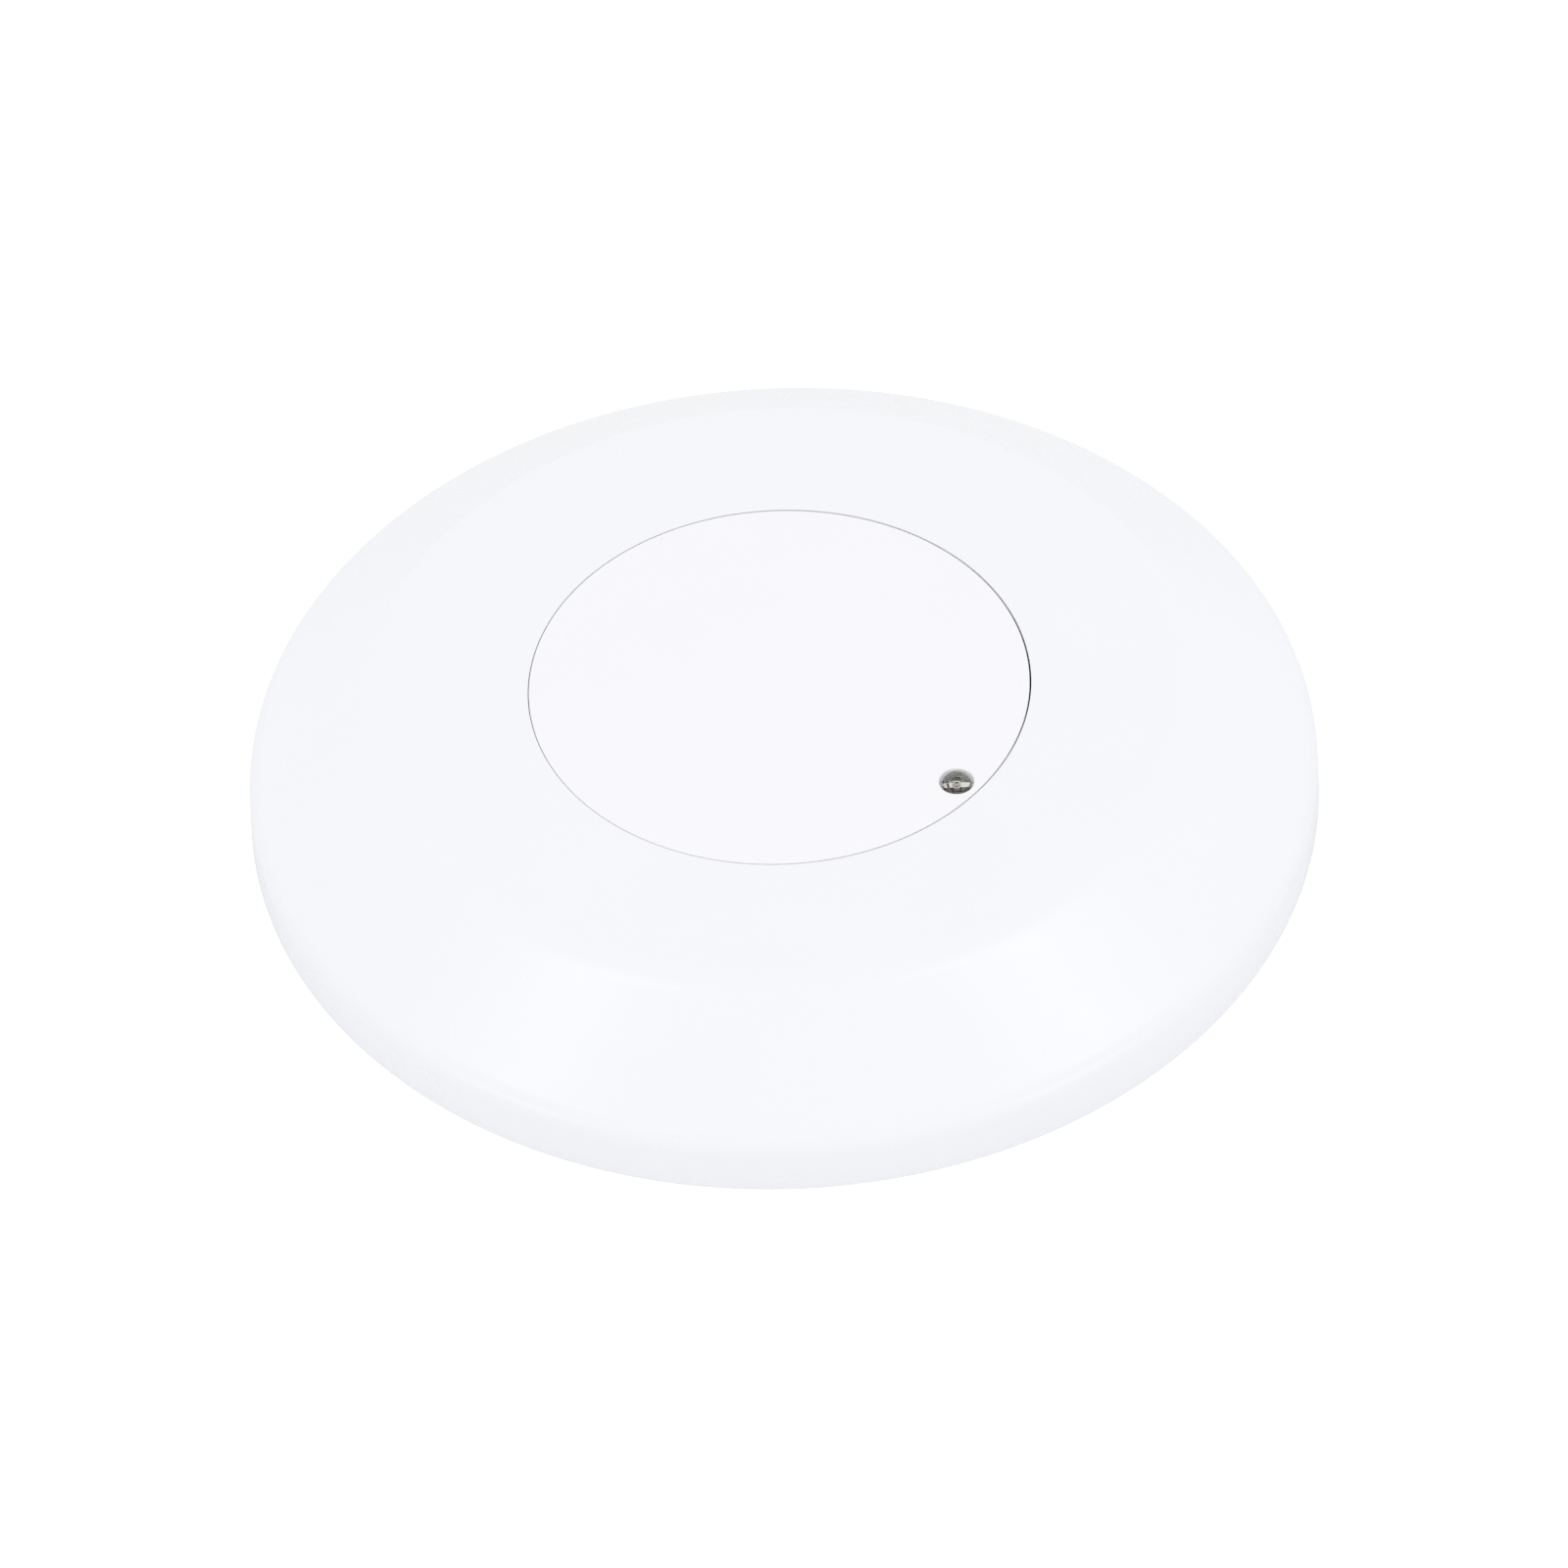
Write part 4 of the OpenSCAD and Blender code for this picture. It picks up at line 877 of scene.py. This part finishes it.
class DETECTOR_OT_screws(Operator):
    """Build the board, chamber and terminal screws with driven heads and threads"""
    bl_idname = "detector.screws"
    bl_label = "Screws"

    def execute(self, context):
        s = sizes()
        low = s["board_top"]
        head = screw_head(1.9, 1.05, 0.3, 0.22, 0.65)
        patches = []
        for azimuth in (90, 210, 330):
            patches.append(placed(head, azimuth, 34.0, low, turn=17 * azimuth % 90))
            patches.append(placed(thread(0.85, 0.12, 0.4, 7.1, low + 0.1), azimuth, 34.0))
        piece("board_fixings", patches, "module", ["steel"], ["board_screws"])

        patches = []
        for azimuth in (30, 150, 270):
            patches.append(placed(head, azimuth, 22.6, 6.6, turn=23 * azimuth % 90, flip=True))
            patches.append(placed(thread(0.85, 0.12, 0.4, 6.5, 12.2), azimuth, 22.6))
        piece("chamber_fixings", patches, "module", ["steel"], ["chamber_screws"])

        patches = []
        big = screw_head(2.7, 1.3, 0.35, 0.32, 0.8)
        for azimuth in (60, 120, 240, 300):
            patches.append(placed(big, azimuth, 35.0, 3.9, turn=31 * azimuth % 90))
            patches.append(placed(thread(1.45, 0.18, 0.6, 1.2, 3.95), azimuth, 35.0))
        piece("terminal_fixings", patches, "base", ["steel"], ["terminal_screws"])
        return {"FINISHED"}


class DETECTOR_OT_contacts(Operator):
    """Build the base's stamped contacts and wire clamps"""
    bl_idname = "detector.contacts"
    bl_label = "Base contacts"

    def execute(self, context):
        strip = rectangle(0.5, 5.0, 0.12)
        path = bent_path([(0, -4.4, 2.85, 0), (0, 4.2, 2.85, 1.2), (0, 8.4, 5.6, 1.5), (0, 11.2, 5.6, 1.5), (0, 13.2, 4.7, 0)], 10)
        patches = [placed(sweep(path, strip, (1, 0, 0)), azimuth, 35.0) for azimuth in (60, 120, 240, 300)]
        piece("leaf_contacts", patches, "base", ["brass"], ["base_contacts"])

        plate = bevelled(rectangle(7.4, 7.4, 0.8), 3.1, 3.9, 0.15)
        ridge = [bevelled(rectangle(0.5, 6.0, 0.2, x, 0), 3.85, 4.05, 0.08) for x in (-3.1, 3.1)]
        patches = [placed(p, azimuth, 35.0) for azimuth in (60, 120, 240, 300) for p in (plate, *ridge)]
        piece("clamp_plates", patches, "base", ["steel"], ["wire_clamps"])
        return {"FINISHED"}


class DETECTOR_OT_switch(Operator):
    """Build the diaphragm, its ring and gasket, the contact stud and tip, the bush and the gap screw"""
    bl_idname = "detector.switch"
    bl_label = "Pressure switch"

    def execute(self, context):
        rim, crown, thick = 11.6, 12.4, 0.2
        r = np.concatenate([[19.8], np.linspace(17.3, 3.0, 120), [0.9]])
        t = np.clip((17.3 - r) / 14.3, 0, 1)
        z = rim + (crown - rim) * t + 0.12 * np.sin(2 * math.pi * 5 * t) * np.sin(math.pi * t)
        foil = np.concatenate([np.column_stack([r, z]), np.column_stack([r, z + thick])[::-1]])
        made = piece("foil_diaphragm", [lathe(foil, 160)], None, ["bronze"], ["diaphragm"])
        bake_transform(made)

        def ring(name, r_out, r_in, low, high, bevel, finish, slot, node_name, body="module"):
            section = outline([(r_in, low, bevel), (r_out, low, bevel), (r_out, high, bevel), (r_in, high, bevel)], 4)
            piece(name, [lathe(section, 128)], body, [finish], [node_name])

        ring("gasket_ring", 19.8, 18.0, 11.2, 11.6, 0.15, "rubber", "rubber", "chamber_gasket")
        ring("clamp_ring", 19.8, 18.0, 11.8, 12.2, 0.1, "brass", "brass", "diaphragm_ring")

        stud = outline([(0, 11.0, 0), (0.85, 11.0, 0), (0.85, 11.93, 0.05), (1.8, 11.93, 0.15), (1.8, 12.38, 0.05), (0, 12.38, 0)], 4)
        cap = outline([(0, 12.62, 0), (1.8, 12.62, 0.05), (1.75, 13.07, 0.3), (0, 13.07, 0)], 5)
        shank = outline([(0, 12.2, 0), (0.85, 12.2, 0), (0.85, 12.8, 0), (0, 12.8, 0)], 1)
        piece("rivet_stud", [lathe(p, 48, closed=False) for p in (stud, cap, shank)], "switch_contact", ["brass"], ["contact_stud"])
        tip = outline([(0, 10.6, 0), (0.95, 10.62, 0.3), (1.1, 11.0, 0.05), (0, 11.0, 0)], 5)
        piece("tip_button", [lathe(tip, 40, closed=False)], "switch_contact", ["tin"], ["contact_tip"])

        sleeve = outline([(1.53, 7.8, 0.1), (2.4, 7.8, 0.1), (2.4, 9.6, 0), (1.53, 9.6, 0)], 3)
        turned = np.linspace(0, 2 * math.pi, 72, endpoint=False)
        side = math.pi / 3
        hex_r = 3.0 * math.cos(side / 2) / np.cos((turned % side) - side / 2)
        levels = [(9.5, hex_r), (9.5 + 0.08, hex_r), (10.22, hex_r), (10.3, hex_r - 0.12), (10.3, 0 * hex_r + 1.63), (10.22, 0 * hex_r + 1.53), (9.5, 0 * hex_r + 1.53)]
        nut = np.array([np.column_stack([rr * np.cos(turned), rr * np.sin(turned), 0 * turned + zz]) for zz, rr in levels])
        piece("threaded_bush", [lathe(sleeve, 48), grid(nut, close_rows=True)], "module", ["brass"], ["contact_bush"])

        shank = thread(1.48, 0.14, 0.5, 7.9, 9.85)
        drive = placed(slotted_end(1.4, 0.9, 0.5, 0.8), z=7.95, flip=True)
        nose = outline([(0, 9.8, 0), (1.0, 9.8, 0), (1.0, 10.15, 0.12), (0, 10.15, 0)], 4)
        piece("gap_adjuster", [shank, drive, lathe(nose, 40, closed=False)], "adjuster", ["steel"], ["gap_screw"])
        return {"FINISHED"}


class DETECTOR_OT_carried(Operator):
    """Give the CAD parts whose shape is kept their finishes"""
    bl_idname = "detector.carried"
    bl_label = "Finishes of the CAD parts"

    def execute(self, context):
        for finish, nodes in (
                ("moulding", ("base_plate", "module_frame", "chamber_base")),
                ("board", ("circuit_board",)),
                ("brass", ("wiping_contacts", "contact_strip", "leak_plug")),
                ("tin", ("lead_pins",))):
            for name in nodes:
                carried_over(name, finish)
        return {"FINISHED"}


# ---------------------------------------------------------------- stage

class DETECTOR_OT_stage(Operator):
    """Set the floor, the even light, the softboxes and the camera"""
    bl_idname = "detector.stage"
    bl_label = "Stage"

    def execute(self, context):
        studio = context.scene.detector_studio
        edge = np.array([[-2500, -2500, -0.05], [2500, -2500, -0.05], [2500, 2500, -0.05], [-2500, 2500, -0.05]])
        floor = piece("floor", [(edge, [(0, 1, 2, 3)], 0)], None, [])
        if floor.data.polygons[0].normal.z < 0:
            floor.data.flip_normals()
        made, tree, principled = shader("Floor paper", Roughness=0.9, Emission_Color=(1, 1, 1, 1))
        ray = node(tree, "ShaderNodeLightPath").outputs
        seen = arithmetic(tree, "MULTIPLY_ADD", ray["Is Camera Ray"], 1.4 * studio.table, studio.table)
        glow = arithmetic(tree, "MULTIPLY_ADD", ray["Is Glossy Ray"], -0.45 * studio.table, seen)
        tree.links.new(glow, principled.inputs["Emission Strength"])
        place = node(tree, "ShaderNodeTexCoord").outputs["Object"]
        soft = blend_colours(tree, noise(tree, place, 120.0, 2.0), tuple(c * 0.99 for c in studio.floor), studio.floor)
        tree.links.new(soft, principled.inputs["Base Color"])
        under = node(tree, "ShaderNodeNewGeometry").outputs["Backfacing"]  # from below, the floor is clear
        mixed = node(tree, "ShaderNodeMixShader", {0: under, 1: principled.outputs[0],
                                                   2: node(tree, "ShaderNodeBsdfTransparent").outputs[0]})
        tree.links.new(mixed.outputs[0], tree.nodes["Material Output"].inputs["Surface"])
        made.cycles.emission_sampling = "NONE"
        floor.data.materials.append(made)

        world = bpy.data.worlds.new("Even light")
        world.use_nodes = True
        world.node_tree.nodes["Background"].inputs["Color"].default_value = (1.0, 1.0, 1.0, 1)
        world.node_tree.nodes["Background"].inputs["Strength"].default_value = studio.sky
        context.scene.world = world

        for name, azimuth, elevation, width, depth, share in (
                ("left", 208, 59, 0.09, 0.3, 1.0), ("left_edge", 196, 57, 0.14, 0.3, 0.35),
                ("right", 336, 57, 0.12, 0.3, 1.0), ("right_edge", 350, 53, 0.16, 0.3, 0.35),
                ("left_low", 220, 8, 0.25, 0.12, 0.75), ("right_low", 320, 8, 0.25, 0.12, 0.85)):
            a, e = math.radians(azimuth), math.radians(elevation)
            towards = np.array([math.cos(e) * math.cos(a), math.cos(e) * math.sin(a), math.sin(e)])
            light = bpy.data.lights.new("softbox_" + name, "AREA")
            light.shape = "RECTANGLE"
            light.size, light.size_y = width, depth
            light.energy = studio.softbox * share * math.pi * light.size * light.size_y
            made = bpy.data.objects.new("softbox_" + name, light)
            context.scene.collection.objects.link(made)
            made.location = towards * 0.6
            made.rotation_mode = "QUATERNION"
            made.rotation_quaternion = made.location.to_track_quat("Z", "Y")

        e, r = studio.elevation, studio.roll
        back = np.array([0, -math.cos(e), math.sin(e)])
        up, right = np.array([0, math.sin(e), math.cos(e)]), np.array([1.0, 0, 0])
        centre = back * studio.distance + (-0.016 * right + 0.104 * up) * MM
        right, up = right * math.cos(r) - up * math.sin(r), right * math.sin(r) + up * math.cos(r)
        camera = bpy.data.cameras.new("Camera")
        camera.lens, camera.sensor_width = studio.lens, 36.0
        camera.clip_start, camera.clip_end = 0.01, 20.0
        made = bpy.data.objects.new("Camera", camera)
        context.scene.collection.objects.link(made)
        made.matrix_world = Matrix([*np.column_stack([right, up, back, centre]), (0, 0, 0, 1)])
        context.scene.camera = made
        context.scene.view_settings.view_transform = "Standard"
        return {"FINISHED"}


# ---------------------------------------------------------------- panel and registration

OPERATORS = (DETECTOR_OT_stage, DETECTOR_OT_cover, DETECTOR_OT_disc, DETECTOR_OT_indicator, DETECTOR_OT_resistors,
             DETECTOR_OT_diodes, DETECTOR_OT_chips, DETECTOR_OT_solder, DETECTOR_OT_screws, DETECTOR_OT_contacts,
             DETECTOR_OT_switch, DETECTOR_OT_carried)
SETTINGS = {"detector_sizes": DetectorSizes, "detector_finishes": DetectorFinishes, "detector_studio": StudioSettings}


class DETECTOR_PT_panel(Panel):
    """Lists the settings and the operators that build the detector"""
    bl_idname = "DETECTOR_PT_panel"
    bl_label = "Heat detector"
    bl_space_type = "VIEW_3D"
    bl_region_type = "UI"
    bl_category = "Detector"

    def draw(self, context):
        for name, settings in SETTINGS.items():
            box = self.layout.box()
            for key in settings.__annotations__:
                box.prop(getattr(context.scene, name), key)
        for operator in OPERATORS:
            self.layout.operator(operator.bl_idname)


CLASSES = (*SETTINGS.values(), *OPERATORS, DETECTOR_PT_panel)


def register():
    for cls in CLASSES:
        bpy.utils.register_class(cls)
    for name, settings in SETTINGS.items():
        setattr(bpy.types.Scene, name, PointerProperty(type=settings))


def unregister():
    for name in SETTINGS:
        delattr(bpy.types.Scene, name)
    for cls in reversed(CLASSES):
        bpy.utils.unregister_class(cls)


def main():
    register()
    for operator in OPERATORS:
        family, name = operator.bl_idname.split(".")
        getattr(getattr(bpy.ops, family), name)()


if __name__ == "__main__":
    main()
